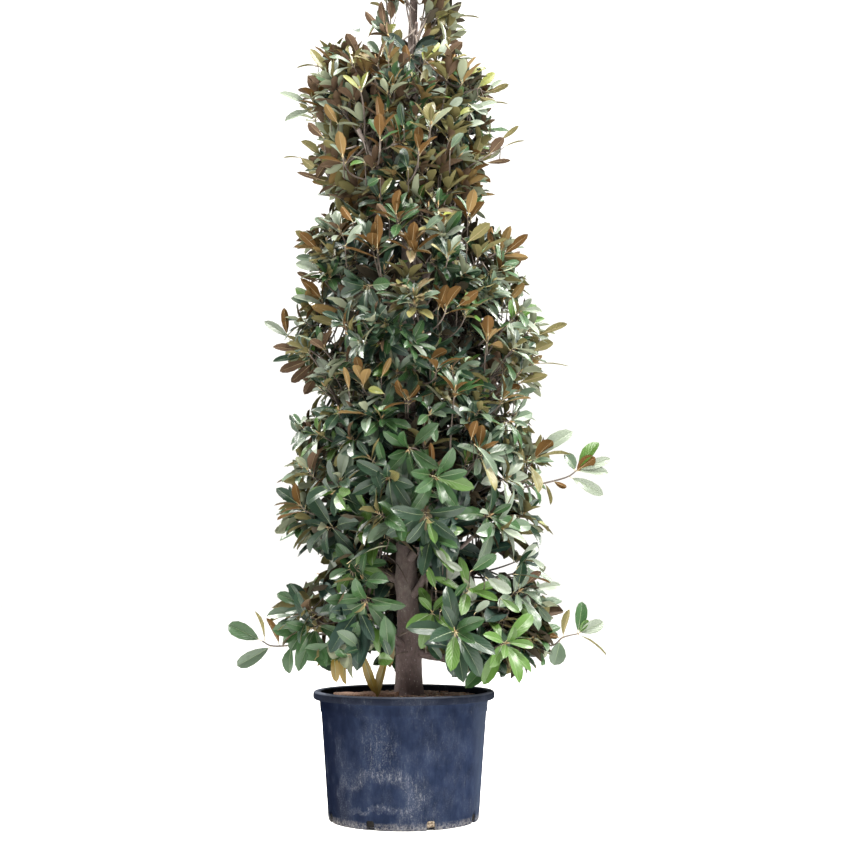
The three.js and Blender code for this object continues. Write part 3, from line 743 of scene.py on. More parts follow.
def shoot_tips(mass, random):
    """Where a mass's shoots end: evenly over its part of the crown's face, as in a sunflower's head."""
    count = mass["shoots"]
    for k in range(count):
        out = SPREAD * math.sqrt((k + 0.5) / count)
        turn = GOLDEN_ANGLE * k + mass["seed"]
        height = max(mass["height"] + mass["half"] * out * math.sin(turn), LOWEST_TIP)
        height = min(height, CROWN_TOP - BELOW_TOP)
        across = mass["half"] * out * math.cos(turn) / reach_at(mass["height"], mass["azimuth"])
        azimuth = turn if mass.get("on_top") else mass["azimuth"] + across
        inset = lerp(LOW_INSET, HIGH_INSET, share_up(height)) * leaf_length(height)
        radius = max(reach_at(height, azimuth) * (1 - DEPTH * random.random()) - inset, LEAST_REACH)
        tip = level(azimuth, radius, height)
        if mass.get("on_top"):
            tip[:2] += mass["root"][:2]
        yield 1 - ALONG * k / count, tip


def near_a_star(tip):
    """True of a tip that would crowd a rosette that stands out, or hide it from the front."""
    for star, apart in stars_about(tip):
        before = tip[1] < star.tip[1] + BEFORE
        if apart < CROWDED * star.length or (apart < HIDING * star.length and before):
            return tip[1] < star.tip[1] + BEHIND
    return False


def side_shoot(line, share, spread, reach, random):
    """A short shoot that leaves the line at a share of its length and turns upwards."""
    start = point_along(line, share)
    axis = unit(line[-1] - line[len(line) // 3])
    side = turned(square_to(axis), axis, random.uniform(0, 2 * math.pi))
    aim = unit(axis + spread * side + SIDE_LIFT * UP)
    return bezier(start, start + 0.5 * reach * aim, start + aim * reach + SIDE_CURL * reach * UP, 5)


def grow_shoots(mass):
    """The lines of the mass's shoots and side shoots."""
    random = np.random.default_rng(mass["seed"])
    shoots = []
    for share, tip in shoot_tips(mass, random):
        foot = point_along(mass["stem"], share)
        length = np.linalg.norm(tip - foot)
        up = share_up(tip[2])
        rise = math.radians(lerp(*SHOOT_RISE, up ** RISE_POWER) + random.normal(0, RISE_WAVER))
        azimuth = math.atan2(tip[1], tip[0]) + random.normal(0, TURN_WAVER)
        heading = level(azimuth, math.cos(rise), math.sin(rise))
        main = bezier(foot, tip - heading * 0.45 * length, tip, 7)
        shoots.append(main)
        for _ in range(random.poisson(SIDE_SHOOTS)):
            reach = random.uniform(*SIDE_REACH) * leaf_length(tip[2])
            shoots.append(side_shoot(main, random.uniform(*SIDE_FROM), SIDE_SPREAD, reach, random))
    return [s for s in shoots if not near_a_star(s[-1])]


def grow_inner_shoots(mass):
    """The shaded shoots on the bough and the stem, with the crown's older leaves."""
    random = np.random.default_rng(mass["seed"] + 7)
    line = whole_limb(mass)
    shoots = [side_shoot(line, random.uniform(INNER_FROM, 1.0), INNER_SPREAD,
                         random.uniform(*INNER_REACH), random)
              for _ in range(0 if mass.get("on_top") else INNER_SHOOTS)]
    return [s for s in shoots if s[-1][2] > LOWEST_TIP and math.hypot(s[-1][0], s[-1][1])
            < INNER_LIMIT * reach_at(s[-1][2], math.atan2(s[-1][1], s[-1][0]))]


def star_shoot(star, mass):
    """The shoot to a rosette that stands out, from the nearest point of the mass's limbs."""
    azimuth, rise = math.radians(star.azimuth), math.radians(star.rise)
    heading = level(azimuth, math.cos(rise), math.sin(rise))
    limb = whole_limb(mass)
    foot = limb[np.argmin(np.linalg.norm(limb - (star.tip - 0.2 * heading), axis=1))]
    return bezier(foot, star.tip - heading * 0.4 * np.linalg.norm(star.tip - foot), star.tip, 10)


# ------------------------------------------------------------------ leaves

# Each side's colours, with the share of sprays that have them low and high in the crown.
TOPS = {
    "deep": ((0.010, 0.026, 0.013), 0.46, 0.20),
    "green": ((0.019, 0.050, 0.015), 0.32, 0.16),
    "grey": ((0.054, 0.080, 0.051), 0.10, 0.21),
    # pale: a grey-green leaf top paled by a painted sheen.
    "pale": ((0.130, 0.155, 0.118), 0.07, 0.25),
    "leafy": ((0.041, 0.088, 0.015), 0.11, 0.02),
    "lime": ((0.130, 0.140, 0.032), 0.00, 0.03),
    "olive": ((0.110, 0.100, 0.036), 0.00, 0.14),
    "bronze": ((0.105, 0.080, 0.040), 0.00, 0.04),
    "yellow": ((0.120, 0.082, 0.013), 0, 0),
    # shade is painted shade: a dark blue-green for the leaves in the crown's hollows.
    "shade": ((0.010, 0.024, 0.017), 0, 0),
}
UNDERS = {
    "rust": ((0.070, 0.034, 0.007), 0.03, 0.09),
    "brown": ((0.070, 0.043, 0.026), 0.04, 0.36),
    "olive": ((0.105, 0.094, 0.037), 0.46, 0.27),
    "tan": ((0.126, 0.080, 0.028), 0.02, 0.09),
    "pale_green": ((0.180, 0.200, 0.135), 0.45, 0.19),
    "ochre": ((0.110, 0.065, 0.015), 0, 0),
    # shade_brown is painted shade: a dark brown for the undersides of those leaves.
    "shade_brown": ((0.034, 0.028, 0.018), 0, 0),
}
TOP_NAMES, UNDER_NAMES = list(TOPS), list(UNDERS)
BROWNING = 2  # the power of the share up by which undersides turn brown towards the tip
RIB, FELTED_RIB = (0.120, 0.160, 0.078), (0.220, 0.165, 0.085)
# High up, leaves at the crown's sides are dealt paler colours as painted light: how much each share
# grows there, from which share of the reach, and from which height.
PAINTED_LIGHT_SHARES = {"deep": -0.7, "green": -0.5, "grey": 0.7, "pale": 1.2}
PAINTED_LIGHT_SIDE, PAINTED_LIGHT_HEIGHT = (0.45, 0.85), (1.6, 2.0)

# A spray's habit: the range of a grown leaf's length, in leaf lengths, unless its star gives it, how
# many leaves it has at most below its rosette, the share of its leaves that keep its colours, and how
# far they sway, in degrees.
STAR_HABIT = (None, 0, 0.85, 12)
SHADED_HABIT = ((1.0, 1.25), 1, 1.0, 12)
FREE_HABIT = ((0.86, 1.10), 2, 0.7, 8)
LONG_SHOOT = 0.12  # free sprays on shorter shoots have no leaves below the rosette
LEAF_TURN_WAVER = 0.10  # in radians
BELOW_FROM, BELOW_STEP, BELOW_WAVER = 0.4, 0.035, 0.02  # in leaf lengths; in metres; in metres
# How a rosette opens: degrees from the shoot to its youngest and its oldest leaf, and the power of
# the leaf's age between them, where leaves spread and where they stand upright.
SPREADING, UPRIGHT = (24, 84, 0.7), (8, 50, 0.85)
ROSETTE_DEPTH = 0.26  # in leaf lengths, down the shoot
DROOP, DROOP_WAVER = (0.50, 0.02), 0.08  # where leaves spread and where they stand upright
FACING_UP = (0.55, 0.15)  # low and high in the crown
YOUNGEST = 0.55  # size of the leaf at the very tip
SIZES, BREADTHS = (0.88, 1.08), (0.88, 1.10)  # ranges
# A blade's form: ranges of its bend, fold and wave, and how far its twist wavers.
BENDS, FOLDS, WAVES, TWIST = (0.15, 0.90), (0.35, 0.95), (0, 0.22), 0.32
BEND_SHARE = (1.2, 0.5)  # where leaves spread and where they stand upright
PLACED_BENDS, PLACED_FOLDS = (0.2, 0.6), (0.6, 1.1)
PLACED_WAVE, PLACED_TWIST, PLACED_TILT = 0.08, 0.15, 0.45
TRUNK_CLEAR, GAP_CLEAR = 0.008, 0.012
CLEAR_LOW, CLEAR_HIGH = 0.060, 0.030  # to each side of the bare trunk and of the bare tip


def deal(colours, up, random, painted_light=0.0):
    """The number of a colour, drawn with its share at that height, as shifted by painted light."""
    shares = np.array([lerp(low, high, up) * (1 + painted_light * PAINTED_LIGHT_SHARES.get(name, 0))
                       for name, (_, low, high) in colours.items()])
    return int(random.choice(len(shares), p=shares / shares.sum()))


class Leaves:
    """Leaves as rows of numbers, from which all blades are made at once."""

    def __init__(self):
        self.rows = []
        self.petioles = []

    def add(self, node, base, along, face, length, width, bend, fold, twist, wave, top, under):
        face = unit(face - along * np.dot(face, along))
        self.rows.append((*base, *along, *face, length, width, bend, fold, twist, wave, top, under))
        self.petioles.append((node, base + along * 0.004))

    def place(self, base, tip, width, shows, colour, random):
        """One leaf from base to tip that shows its top, its underside or its edge to the front."""
        base, tip = np.array(base, float), np.array(tip, float)
        along = unit(tip - base)
        face = np.array({"top": (0, -1.0, 0.35), "under": (0, 1.0, 0.35), "edge": (0, 0, 1.0)}[shows])
        if shows == "edge" and abs(along[2]) > 0.8:  # it stands upright
            face = np.array([1.0, 0.25, 0])
        top = TOP_NAMES.index(colour) if colour in TOPS else deal(TOPS, 0.3, random)
        under = "ochre" if colour == "yellow" else colour if colour in UNDERS else "olive"
        length = float(np.linalg.norm(tip - base))
        start = base + along * length * 0.1
        face = face + random.normal(0, PLACED_TILT) * np.array([1.0, 0, 0])
        self.add(base, start, along, face, length * 0.92, width, random.uniform(*PLACED_BENDS),
                 random.uniform(*PLACED_FOLDS), random.normal(0, PLACED_TWIST), PLACED_WAVE,
                 top, UNDER_NAMES.index(under))


def painted_light_at(tip):
    """Painted light on a leaf's colours: 0 low down and in the crown's middle, 1 high up at its sides."""
    side = abs(tip[0]) / reach_at(tip[2], 0.0 if tip[0] > 0 else math.pi)
    return smoothstep(side, *PAINTED_LIGHT_SIDE) * smoothstep(tip[2], *PAINTED_LIGHT_HEIGHT)


def outside(tip):
    reach = reach_at(tip[2], math.atan2(tip[1], tip[0])) + PROUD
    return math.hypot(tip[0], tip[1]) > reach or tip[2] > CROWN_TOP


def in_the_way(base, along, length, shown):
    """True of a leaf that would cross the trunk, or close a gap or hide the bare trunk from the front."""
    for share in (0.0, 0.35, 0.7, 1.0):
        p = base + along * length * share
        axis = trunk_at(float(np.clip(p[2], SOIL_TOP, TRUNK_TIP)))
        across = p - axis
        if p[2] < TRUNK_TIP and math.hypot(across[0], across[1]) < trunk_radius(p[2]) + TRUNK_CLEAR:
            return True
        x, z = seen_at(p)
        clear = CLEAR_LOW if z < BARE_TRUNK else CLEAR_HIGH if BARE_TIP[0] < z < BARE_TIP[1] else 0
        if abs(x - axis[0]) < clear and p[1] < 0 and not shown:
            return True
        apart = (np.array([x, z]) - GAPS[:, :2]) / (GAPS[:, 2:] + GAP_CLEAR)
        if (np.hypot(apart[:, 0], apart[:, 1]) < 1).any():
            return True
    return False


def before_a_star(base, along, length):
    """True of a leaf that would hide a rosette that stands out."""
    middle = base + along * length * 0.6
    return any(middle[1] < star.tip[1] + LEAF_BEFORE and apart < LEAF_HIDING * star.length
               for star, apart in stars_about(middle))


def leaf_out(points, leaves, random, star=None, shaded=False):
    """Leaves in a rosette at the shoot's tip, and some below it. False where hardly one has room."""
    before = len(leaves.rows)
    tip, axis = points[-1], unit(points[-1] - points[-2])
    shoot_length = np.linalg.norm(np.diff(points, axis=0), axis=1).sum()
    up = share_up(tip[2])
    upright = max(up, axis[2] - 0.15) if star else up
    # Painted light: high up at the crown's sides, leaves are dealt paler colours.
    painted_light = 0.0 if star else painted_light_at(tip)
    start = square_to(axis)
    turn = random.uniform(0, 2 * math.pi)
    grown, below, loyal, sway = STAR_HABIT if star else SHADED_HABIT if shaded else FREE_HABIT
    if star:
        count, full = star.leaves, star.length
        top, under = TOP_NAMES.index(star.top), UNDER_NAMES.index(star.under)
    elif shaded:
        count, full = ROSETTE, leaf_length(tip[2]) * random.uniform(*grown)
        # The shaded leaves take the painted shade colours.
        top, under = TOP_NAMES.index("shade"), UNDER_NAMES.index("shade_brown")
    else:
        count, full = ROSETTE + random.integers(-2, 2), leaf_length(tip[2]) * random.uniform(*grown)
        top, under = deal(TOPS, up, random, painted_light), deal(UNDERS, up ** BROWNING, random)
        below = random.integers(0, below + 1) if shoot_length > LONG_SHOOT else 0
    for j in range(count + below):
        turn += GOLDEN_ANGLE + random.normal(0, LEAF_TURN_WAVER)
        if j < count:
            age = (j + 0.5) / count  # 0 for the youngest, at the tip
            node = tip - axis * (0.003 + ROSETTE_DEPTH * full * age ** 1.5)
        else:
            age = 1.0
            down = BELOW_FROM * full + BELOW_STEP * (j - count + 1) + random.uniform(0, BELOW_WAVER)
            node = point_along(points, max(1 - down / shoot_length, 0.3))
        around = turned(start, axis, turn)
        wide, narrow = (lerp(young, old, age ** power) for young, old, power in (SPREADING, UPRIGHT))
        angle = math.radians(lerp(wide, narrow, upright) + random.normal(0, sway))
        along = unit(axis * math.cos(angle) + around * math.sin(angle))
        face = unit(axis * math.sin(angle) - around * math.cos(angle))
        droop = lerp(*DROOP, upright ** 0.7) * age + random.normal(0, DROOP_WAVER)
        along = unit(along - droop * UP)
        face = unit(face + lerp(*FACING_UP, up) * UP)
        size = lerp(YOUNGEST, 1.0, smoothstep(age, 0, 0.55)) * random.uniform(*SIZES)
        length = full * size
        width = SLENDER * full * size ** 0.8 * random.uniform(*BREADTHS)
        base = node + along * PETIOLE * full
        end = base + along * length
        if in_the_way(base, along, length, bool(star)):
            continue
        if not star and (end[2] < LOWEST_LEAF or outside(end) or before_a_star(base, along, length)):
            continue
        own_top = top if random.random() < loyal else deal(TOPS, up, random, painted_light)
        own_under = under if random.random() < loyal else deal(UNDERS, up ** BROWNING, random)
        bend = random.uniform(*BENDS) * lerp(*BEND_SHARE, upright)
        leaves.add(node, base, along, face, length, width, bend, random.uniform(*FOLDS),
                   random.normal(0, TWIST), random.uniform(*WAVES), own_top, own_under)
    return len(leaves.rows) - before > BAREST


FINE_ROWS = np.array([0.0, 0.10, 0.28, 0.50, 0.72, 0.89, 1.0])
PLAIN_ROWS = np.array([0.0, 0.15, 0.42, 0.68, 0.88, 1.0])
FINE_HALF, PLAIN_HALF = [0.5, 1.0], [1.0]  # columns on one side of the rib
RIB_COLUMN = 0.001
RIB_HALF = 0.0009
NARROW = 0.0010  # half the least width
BLADE_BASE, BLADE_TIP = 0.84, 0.66  # how fast a blade widens from its base and closes to its tip
BLADE_WIDEST = BLADE_BASE / (BLADE_BASE + BLADE_TIP)
BLADE_PEAK = BLADE_WIDEST ** BLADE_BASE * (1 - BLADE_WIDEST) ** BLADE_TIP
FLATTENING = 0.35  # of the fold towards the edge
RIPPLES = 9  # radians of wave along a blade
UNDER_RIB, UPPER_RIB = 0.0006, 0.0003  # how far the middle sinks or stands proud


def blades(leaves, under, fine, ribbed=False):
    """Vertices, faces, materials and UVs of one side of every leaf. Ribbed gives the underside a rib too."""
    half_columns = np.array(FINE_HALF if fine else PLAIN_HALF)
    middle_columns = [0.0] if under and not ribbed else [-RIB_COLUMN, RIB_COLUMN]
    columns = np.concatenate([-half_columns[::-1], middle_columns, half_columns])
    lengthwise = FINE_ROWS if fine else PLAIN_ROWS
    data = np.array(leaves.rows)
    base, along, face = data[:, 0:3], data[:, 3:6], data[:, 6:9]
    length, width, bend, fold, twist, wave = data[:, 9:15].T
    u, v = lengthwise[None, :], columns[None, None, :]
    side = np.cross(along, face)
    theta = bend[:, None] * u
    ahead = np.sin(theta) / bend[:, None]
    drop = (1 - np.cos(theta)) / bend[:, None]
    centre = (base[:, None] + (length[:, None] * ahead)[..., None] * along[:, None]
              - (length[:, None] * drop)[..., None] * face[:, None])
    normal = np.sin(theta)[..., None] * along[:, None] + np.cos(theta)[..., None] * face[:, None]
    spin = (twist[:, None] * u)[..., None]
    across = np.cos(spin) * side[:, None] + np.sin(spin) * normal
    normal = np.cos(spin) * normal - np.sin(spin) * side[:, None]
    profile = u ** BLADE_BASE * np.maximum(1 - u, 0) ** BLADE_TIP
    half = np.maximum(width[:, None] / 2 * profile / BLADE_PEAK, NARROW)
    aside = v * half[..., None]
    rib = np.minimum(RIB_HALF * (1.15 - u), half)[..., None]
    aside = np.where(np.abs(v) == RIB_COLUMN, np.sign(v) * rib, aside)
    share = np.abs(aside) / half[..., None]
    lift = half[..., None] * np.sin(fold)[:, None, None] * (share - FLATTENING * share ** 2)
    phase = (data[:, 0:1] * 40 + data[:, 2:3] * 23)[..., None]  # no two leaves alike
    lift += (wave[:, None, None] * half[..., None] * share ** 2
             * np.sin(RIPPLES * u[..., None] + phase + np.where(v < 0, 2.0, 0.0)))
    inner = (1 - share ** 2) * np.where((u > 0) & (u < 1), 1.0, 0.0)[..., None]
    middle = np.where(np.abs(v) < 0.01, inner, 0)
    lift = lift - THICKNESS * inner - UNDER_RIB * middle if under else lift - UPPER_RIB * middle
    vertices = (centre[:, :, None] + aside[..., None] * across[:, :, None]
                + lift[..., None] * normal[:, :, None])
    one = grid_faces(len(lengthwise), len(columns))
    one = one if under else one[:, [0, 3, 2, 1]]
    each = len(lengthwise) * len(columns)
    faces = (one[None] + each * np.arange(len(data))[:, None, None]).reshape(-1, 4)
    kinds = np.repeat(data[:, 16 if under else 15].astype(int), len(one))
    if ribbed or not under:
        strip = np.tile(np.arange(len(columns) - 1), (len(lengthwise) - 1) * len(data))
        kinds = np.where(strip == len(half_columns), len(UNDERS if under else TOPS), kinds)
    grid = np.stack(np.meshgrid(lengthwise, columns, indexing="ij"), -1).reshape(-1, 2)
    return vertices.reshape(-1, 3), faces, kinds, np.tile(grid, (len(data), 1))


# ------------------------------------------------------------------ materials

class Nodes:
    """The nodes of a material or a world, with short ways to add and join them."""

    def __init__(self, owner, shader):
        owner.use_nodes = True
        self.owner, self.tree = owner, owner.node_tree
        self.shader = self.tree.nodes[shader]

    def add(self, kind, **values):
        node = self.tree.nodes.new("ShaderNode" + kind)
        for key, value in values.items():
            if key in node.inputs:
                node.inputs[key].default_value = value
            else:
                setattr(node, key, value)
        return node

    def join(self, source, target):
        self.tree.links.new(source, target)

    def feed(self, node, socket, value):
        if isinstance(value, bpy.types.NodeSocket):
            self.join(value, node.inputs[socket])
        else:
            node.inputs[socket].default_value = (*value, 1) if isinstance(value, tuple) else value

    def noise(self, scale, detail=4.0, roughness=0.55, stretch=(1, 1, 1)):
        mapping = self.add("Mapping", Scale=stretch)
        self.join(self.add("TexCoord").outputs["Object"], mapping.inputs["Vector"])
        node = self.add("TexNoise", Scale=scale, Detail=detail, Roughness=roughness)
        self.join(mapping.outputs["Vector"], node.inputs["Vector"])
        return node.outputs["Fac"]

    def ramp(self, source, *stops):
        node = self.add("ValToRGB")
        elements = node.color_ramp.elements
        while len(elements) < len(stops):
            elements.new(0.5)
        for element, (position, colour) in zip(elements, stops):
            element.position = position
            element.color = (*colour, 1) if isinstance(colour, tuple) else (colour, colour, colour, 1)
        self.join(source, node.inputs["Fac"])
        return node.outputs["Color"]

    def mix(self, factor, a, b, blend="MIX"):
        node = self.add("Mix", data_type="RGBA", blend_type=blend)
        for socket, value in ((0, factor), (6, a), (7, b)):
            self.feed(node, socket, value)
        return node.outputs[2]

    def math(self, operation, a, b=0):
        node = self.add("Math", operation=operation)
        self.feed(node, 0, a)
        self.feed(node, 1, b)
        return node.outputs[0]

    def plus(self, a, b):
        return self.math("ADD", a, b)

    def minus(self, a, b):
        return self.math("SUBTRACT", a, b)

    def times(self, a, b):
        return self.math("MULTIPLY", a, b)

    def far(self, a, b):
        """How far from nought a point with these two distances is."""
        return self.math("SQRT", self.plus(self.times(a, a), self.times(b, b)))

    def fade(self, source, start, end, first=0.0, last=1.0, how="LINEAR"):
        """From first at start to last at end."""
        node = self.add("MapRange", interpolation_type=how)
        for socket, value in zip(("From Min", "From Max", "To Min", "To Max"), (start, end, first, last)):
            node.inputs[socket].default_value = value
        self.join(source, node.inputs["Value"])
        return node.outputs["Result"]

    def position(self):
        """The X, Y and Z of the point."""
        split = self.add("SeparateXYZ")
        self.join(self.add("TexCoord").outputs["Object"], split.inputs["Vector"])
        return split.outputs

    def bump(self, height, strength, distance):
        node = self.add("Bump", Strength=strength, Distance=distance)
        self.join(height, node.inputs["Height"])
        self.join(node.outputs["Normal"], self.shader.inputs["Normal"])

    def colour(self, source):
        self.join(source, self.shader.inputs["Base Color"])

    def roughness(self, source):
        self.join(source, self.shader.inputs["Roughness"])


def new_material(name, roughness, base=None, **sockets):
    """The nodes of a new material. Sockets are the shader's, with _ for each space."""
    nodes = Nodes(bpy.data.materials.new(name), "Principled BSDF")
    nodes.shader.inputs["Roughness"].default_value = roughness
    if base is not None:
        nodes.shader.inputs["Base Color"].default_value = (*base, 1)
    for socket, value in sockets.items():
        nodes.shader.inputs[socket.replace("_", " ")].default_value = value
    return nodes


def leaf_top(name, colour):
    """Waxy leather with faint side veins, which run out and forward from the rib."""
    nodes = new_material(name, 0.36, colour, Specular_IOR_Level=0.24, Coat_Weight=0.11, Coat_Roughness=0.16)
    uv = nodes.add("UVMap", uv_map="blade")
    fold = nodes.add("SeparateXYZ")
    nodes.join(uv.outputs["UV"], fold.inputs["Vector"])
    joined = nodes.add("CombineXYZ")
    nodes.join(nodes.times(fold.outputs["X"], 2.2), joined.inputs["X"])
    nodes.join(nodes.times(nodes.math("ABSOLUTE", fold.outputs["Y"]), -0.8), joined.inputs["Y"])
    veins = nodes.add("TexWave", wave_type="BANDS", bands_direction="DIAGONAL", Scale=1.9)
    nodes.join(joined.outputs["Vector"], veins.inputs["Vector"])
    ripple = nodes.noise(55, 2.0)
    nodes.bump(nodes.plus(nodes.times(veins.outputs["Fac"], 0.3), ripple), 0.4, 0.003)
    return nodes.owner


def leaf_under(name, colour):
    """Felt."""
    nodes = new_material(name, 0.80, colour, Specular_IOR_Level=0.18, Sheen_Weight=0.05, Sheen_Roughness=0.5,
                         Sheen_Tint=(0.9, 0.65, 0.3, 1))
    nodes.bump(nodes.noise(140, 3.0), 0.4, 0.0015)
    return nodes.owner


def bark_material():
    """Grey-brown bark with pale flecks, cracked along the trunk, darker at its foot, with painted shade at
    its tip.
    """
    nodes = new_material("bark", 0.85, Specular_IOR_Level=0.3)
    broad = nodes.noise(9, 5.0, 0.6, (1, 1, 0.45))
    fine = nodes.noise(90, 6.0, 0.7, (1, 1, 0.5))
    tone = nodes.ramp(broad, (0.30, (0.105, 0.078, 0.072)), (0.52, (0.185, 0.146, 0.132)),
                      (0.72, (0.300, 0.258, 0.235)))
    z = nodes.position()["Z"]
    tone = nodes.mix(nodes.fade(z, 0.95, 0.60), tone, (0.62, 0.57, 0.60), "MULTIPLY")
    # Painted shade: the bark darkens from 2.7 m up towards the tip.
    tone = nodes.mix(nodes.times(nodes.fade(z, 2.7, 3.0), 0.75), tone, (0.064, 0.043, 0.036))
    grain = nodes.ramp(fine, (0.35, 0.35), (0.62, 1.0))
    flecks = nodes.ramp(nodes.noise(160, 2.0, 0.5, (1, 1, 0.8)), (0.66, 0.0), (0.72, 1.0))
    base = nodes.mix(0.55, tone, grain, "MULTIPLY")
    nodes.colour(nodes.mix(nodes.times(flecks, 0.55), base, (0.42, 0.38, 0.35)))
    nodes.bump(nodes.plus(fine, nodes.times(broad, 0.6)), 0.6, 0.004)
    return nodes.owner


def twig_material():
    """Smooth grey-brown bark."""
    nodes = new_material("twig_bark", 0.75, Specular_IOR_Level=0.3)
    nodes.colour(nodes.ramp(nodes.noise(14, 3.0), (0.35, (0.045, 0.035, 0.029)),
                            (0.55, (0.085, 0.067, 0.055)), (0.72, (0.16, 0.133, 0.112))))
    nodes.bump(nodes.noise(240, 2.0), 0.4, 0.001)
    return nodes.owner


def pot_colour(nodes, mottle, x, z):
    """Mottled navy with a greyer lip, painted shade at its left, painted highlights at its right and rim."""
    tone = nodes.ramp(mottle, (0.28, (0.0050, 0.0078, 0.0170)), (0.52, (0.0106, 0.0158, 0.0330)),
                      (0.76, (0.022, 0.031, 0.056)))
    # Painted shade: darker towards the pot's left side.
    tone = nodes.mix(nodes.fade(x, -0.13, -0.285), tone, (0.0030, 0.0045, 0.0110))
    # Painted highlight: paler towards the pot's right edge.
    tone = nodes.mix(nodes.fade(x, 0.25, 0.32), tone, (0.028, 0.035, 0.052))
    lip = nodes.fade(z, 0.4465, 0.4495)
    base = nodes.mix(nodes.times(lip, 0.75), tone, (0.0085, 0.0100, 0.0150))
    # Painted highlight: a pale band along the top of the lip's roll.
    return nodes.mix(nodes.fade(z, 0.4730, 0.4790), base, (0.085, 0.095, 0.122))


def scuffed_arcs(nodes, x, y, z):
    """1 along the worst scuffs, on wavering arcs on the pot's front."""
    waver = nodes.times(nodes.minus(nodes.noise(11, 4.0, 0.6), 0.5), 0.16)
    arc = 0.0
    for at_x, at_z, squash, radius, wide in SCUFFS:
        aside = nodes.minus(nodes.plus(x, waver), at_x)
        above = nodes.times(nodes.minus(nodes.minus(z, waver), at_z), squash)
        off = nodes.math("ABSOLUTE", nodes.minus(nodes.far(aside, above), radius))
        arc = nodes.math("MAXIMUM", nodes.fade(off, wide, 0.0), arc)
    return nodes.times(arc, nodes.fade(y, -0.15, -0.22))


def pot_material():
    """Navy plastic, scratched, scuffed at the front and dusty at its foot."""
    nodes = new_material("pot_plastic", 0.5, Specular_IOR_Level=0.0)
    x, y, z = nodes.position()
    base = pot_colour(nodes, nodes.noise(16, 7.0, 0.68, (1, 1, 0.5)), x, z)
    streak = nodes.ramp(nodes.noise(120, 7.0, 0.85, (1, 1, 0.20)), (0.54, 0.0), (0.72, 1.0))
    speck = nodes.ramp(nodes.noise(210, 5.0, 0.8), (0.55, 0.0), (0.70, 1.0))
    smear = nodes.ramp(nodes.noise(9, 6.0, 0.62, (1, 1, 0.7)), (0.46, 0.0), (0.74, 1.0))
    arc = scuffed_arcs(nodes, x, y, z)
    worn = nodes.plus(nodes.times(arc, 0.55), nodes.times(smear, 0.30))
    spot_x, spot_z, spot_squash, spot_size = SCUFFED_SPOT
    away = nodes.far(nodes.times(nodes.plus(x, -spot_x), spot_squash), nodes.minus(z, spot_z))
    worn = nodes.plus(worn, nodes.times(nodes.fade(away, spot_size, 0.0), 0.6))
    marks = nodes.times(nodes.plus(streak, nodes.times(speck, 0.7)), worn)
    base = nodes.mix(nodes.times(smear, 0.30), base, (0.034, 0.043, 0.066))
    base = nodes.mix(nodes.times(arc, 0.14), base, (0.09, 0.10, 0.13))
    base = nodes.mix(nodes.math("MINIMUM", marks, 0.9), base, (0.34, 0.35, 0.37))
    dust = nodes.ramp(nodes.noise(110, 6.0, 0.75), (0.42, 0.0), (0.64, 1.0))
    foot = nodes.times(nodes.fade(z, 0.030, 0.002), dust)
    nodes.colour(nodes.mix(nodes.times(foot, 0.75), base, (0.27, 0.255, 0.24)))
    nodes.roughness(nodes.ramp(nodes.noise(25, 5.0), (0.3, 0.45), (0.7, 0.65)))
    nodes.bump(nodes.plus(nodes.noise(60, 4.0, 0.6, (1, 1, 0.3)), nodes.noise(300, 2.0)), 0.25, 0.0008)
    return nodes.owner


def soil_material():
    """Brown grit, with painted shade nearly black where it shows in the drain slots, and sandy behind one of
    them.
    """
    nodes = new_material("soil", 0.95, Specular_IOR_Level=0.2)
    x, y, z = nodes.position()
    grit = nodes.noise(70, 6.0, 0.7)
    top = nodes.ramp(grit, (0.32, (0.10, 0.070, 0.050)), (0.52, (0.30, 0.20, 0.145)),
                     (0.70, (0.42, 0.30, 0.22)), (0.80, (0.55, 0.47, 0.39)))
    # Painted shade: near-black grit where the soil shows through the drain slots.
    slot_shade = nodes.ramp(grit, (0.40, (0.002, 0.002, 0.002)), (0.70, (0.014, 0.012, 0.010)))
    roots = nodes.ramp(nodes.noise(110, 6.0, 0.8), (0.40, (0.02, 0.014, 0.01)), (0.52, (0.26, 0.20, 0.14)),
                       (0.66, (0.55, 0.49, 0.40)))
    sandy = nodes.times(nodes.fade(x, 0.06, 0.07), nodes.fade(x, 0.15, 0.14))
    deep = nodes.mix(nodes.times(sandy, nodes.fade(y, -0.1, -0.12)), slot_shade, roots)
    nodes.colour(nodes.mix(nodes.fade(z, 0.10, 0.12), deep, top))
    nodes.bump(grit, 0.9, 0.008)
    return nodes.owner


def chip_material(name, dark, light):
    """Broken wood and grit."""
    nodes = new_material(name, 0.9, Specular_IOR_Level=0.2)
    nodes.colour(nodes.ramp(nodes.noise(130, 5.0, 0.7), (0.35, dark), (0.65, light)))
    nodes.bump(nodes.noise(220, 3.0), 0.6, 0.002)
    return nodes.owner


# ------------------------------------------------------------------ assembly of the tree

ABOVE_SOIL = 0.0005  # where the trunk's mesh starts
BUTTRESSES, BUTTRESS_DEPTH, BUTTRESS_HEIGHT = 5, 0.007, 0.03
COLLAR_DEPTH, COLLAR_SIZE = 0.009, 0.035
TRUNK_RELIEF, STUB_RELIEF, BOUGH_RELIEF = 0.0011, 0.0009, 0.0006
BOUGH_WANDER = 0.004
TIERS, TIER_SIZE = ("low", "middle", "upper", "top"), 5  # from the crown's foot up, in masses
BUD, STALK = 1, 2  # numbers of the materials on a tier's twigs, whose bark has 0
BUD_ALONG, BUD_RADII = np.array([[-0.002], [0.006], [0.022]]), [0.0028, 0.0038, 0.0008]
SPRAY_RADIUS, SPRAY_TIP = 0.0046, 0.0024
SPRAY_SEED = 5
# A placed leaf further than this from its spray's twig gets a stalk from further in.
STALK_REACH, STALK_FROM, STALK_LEAST = 0.07, np.array([0, 0.11, -0.05]), 0.015


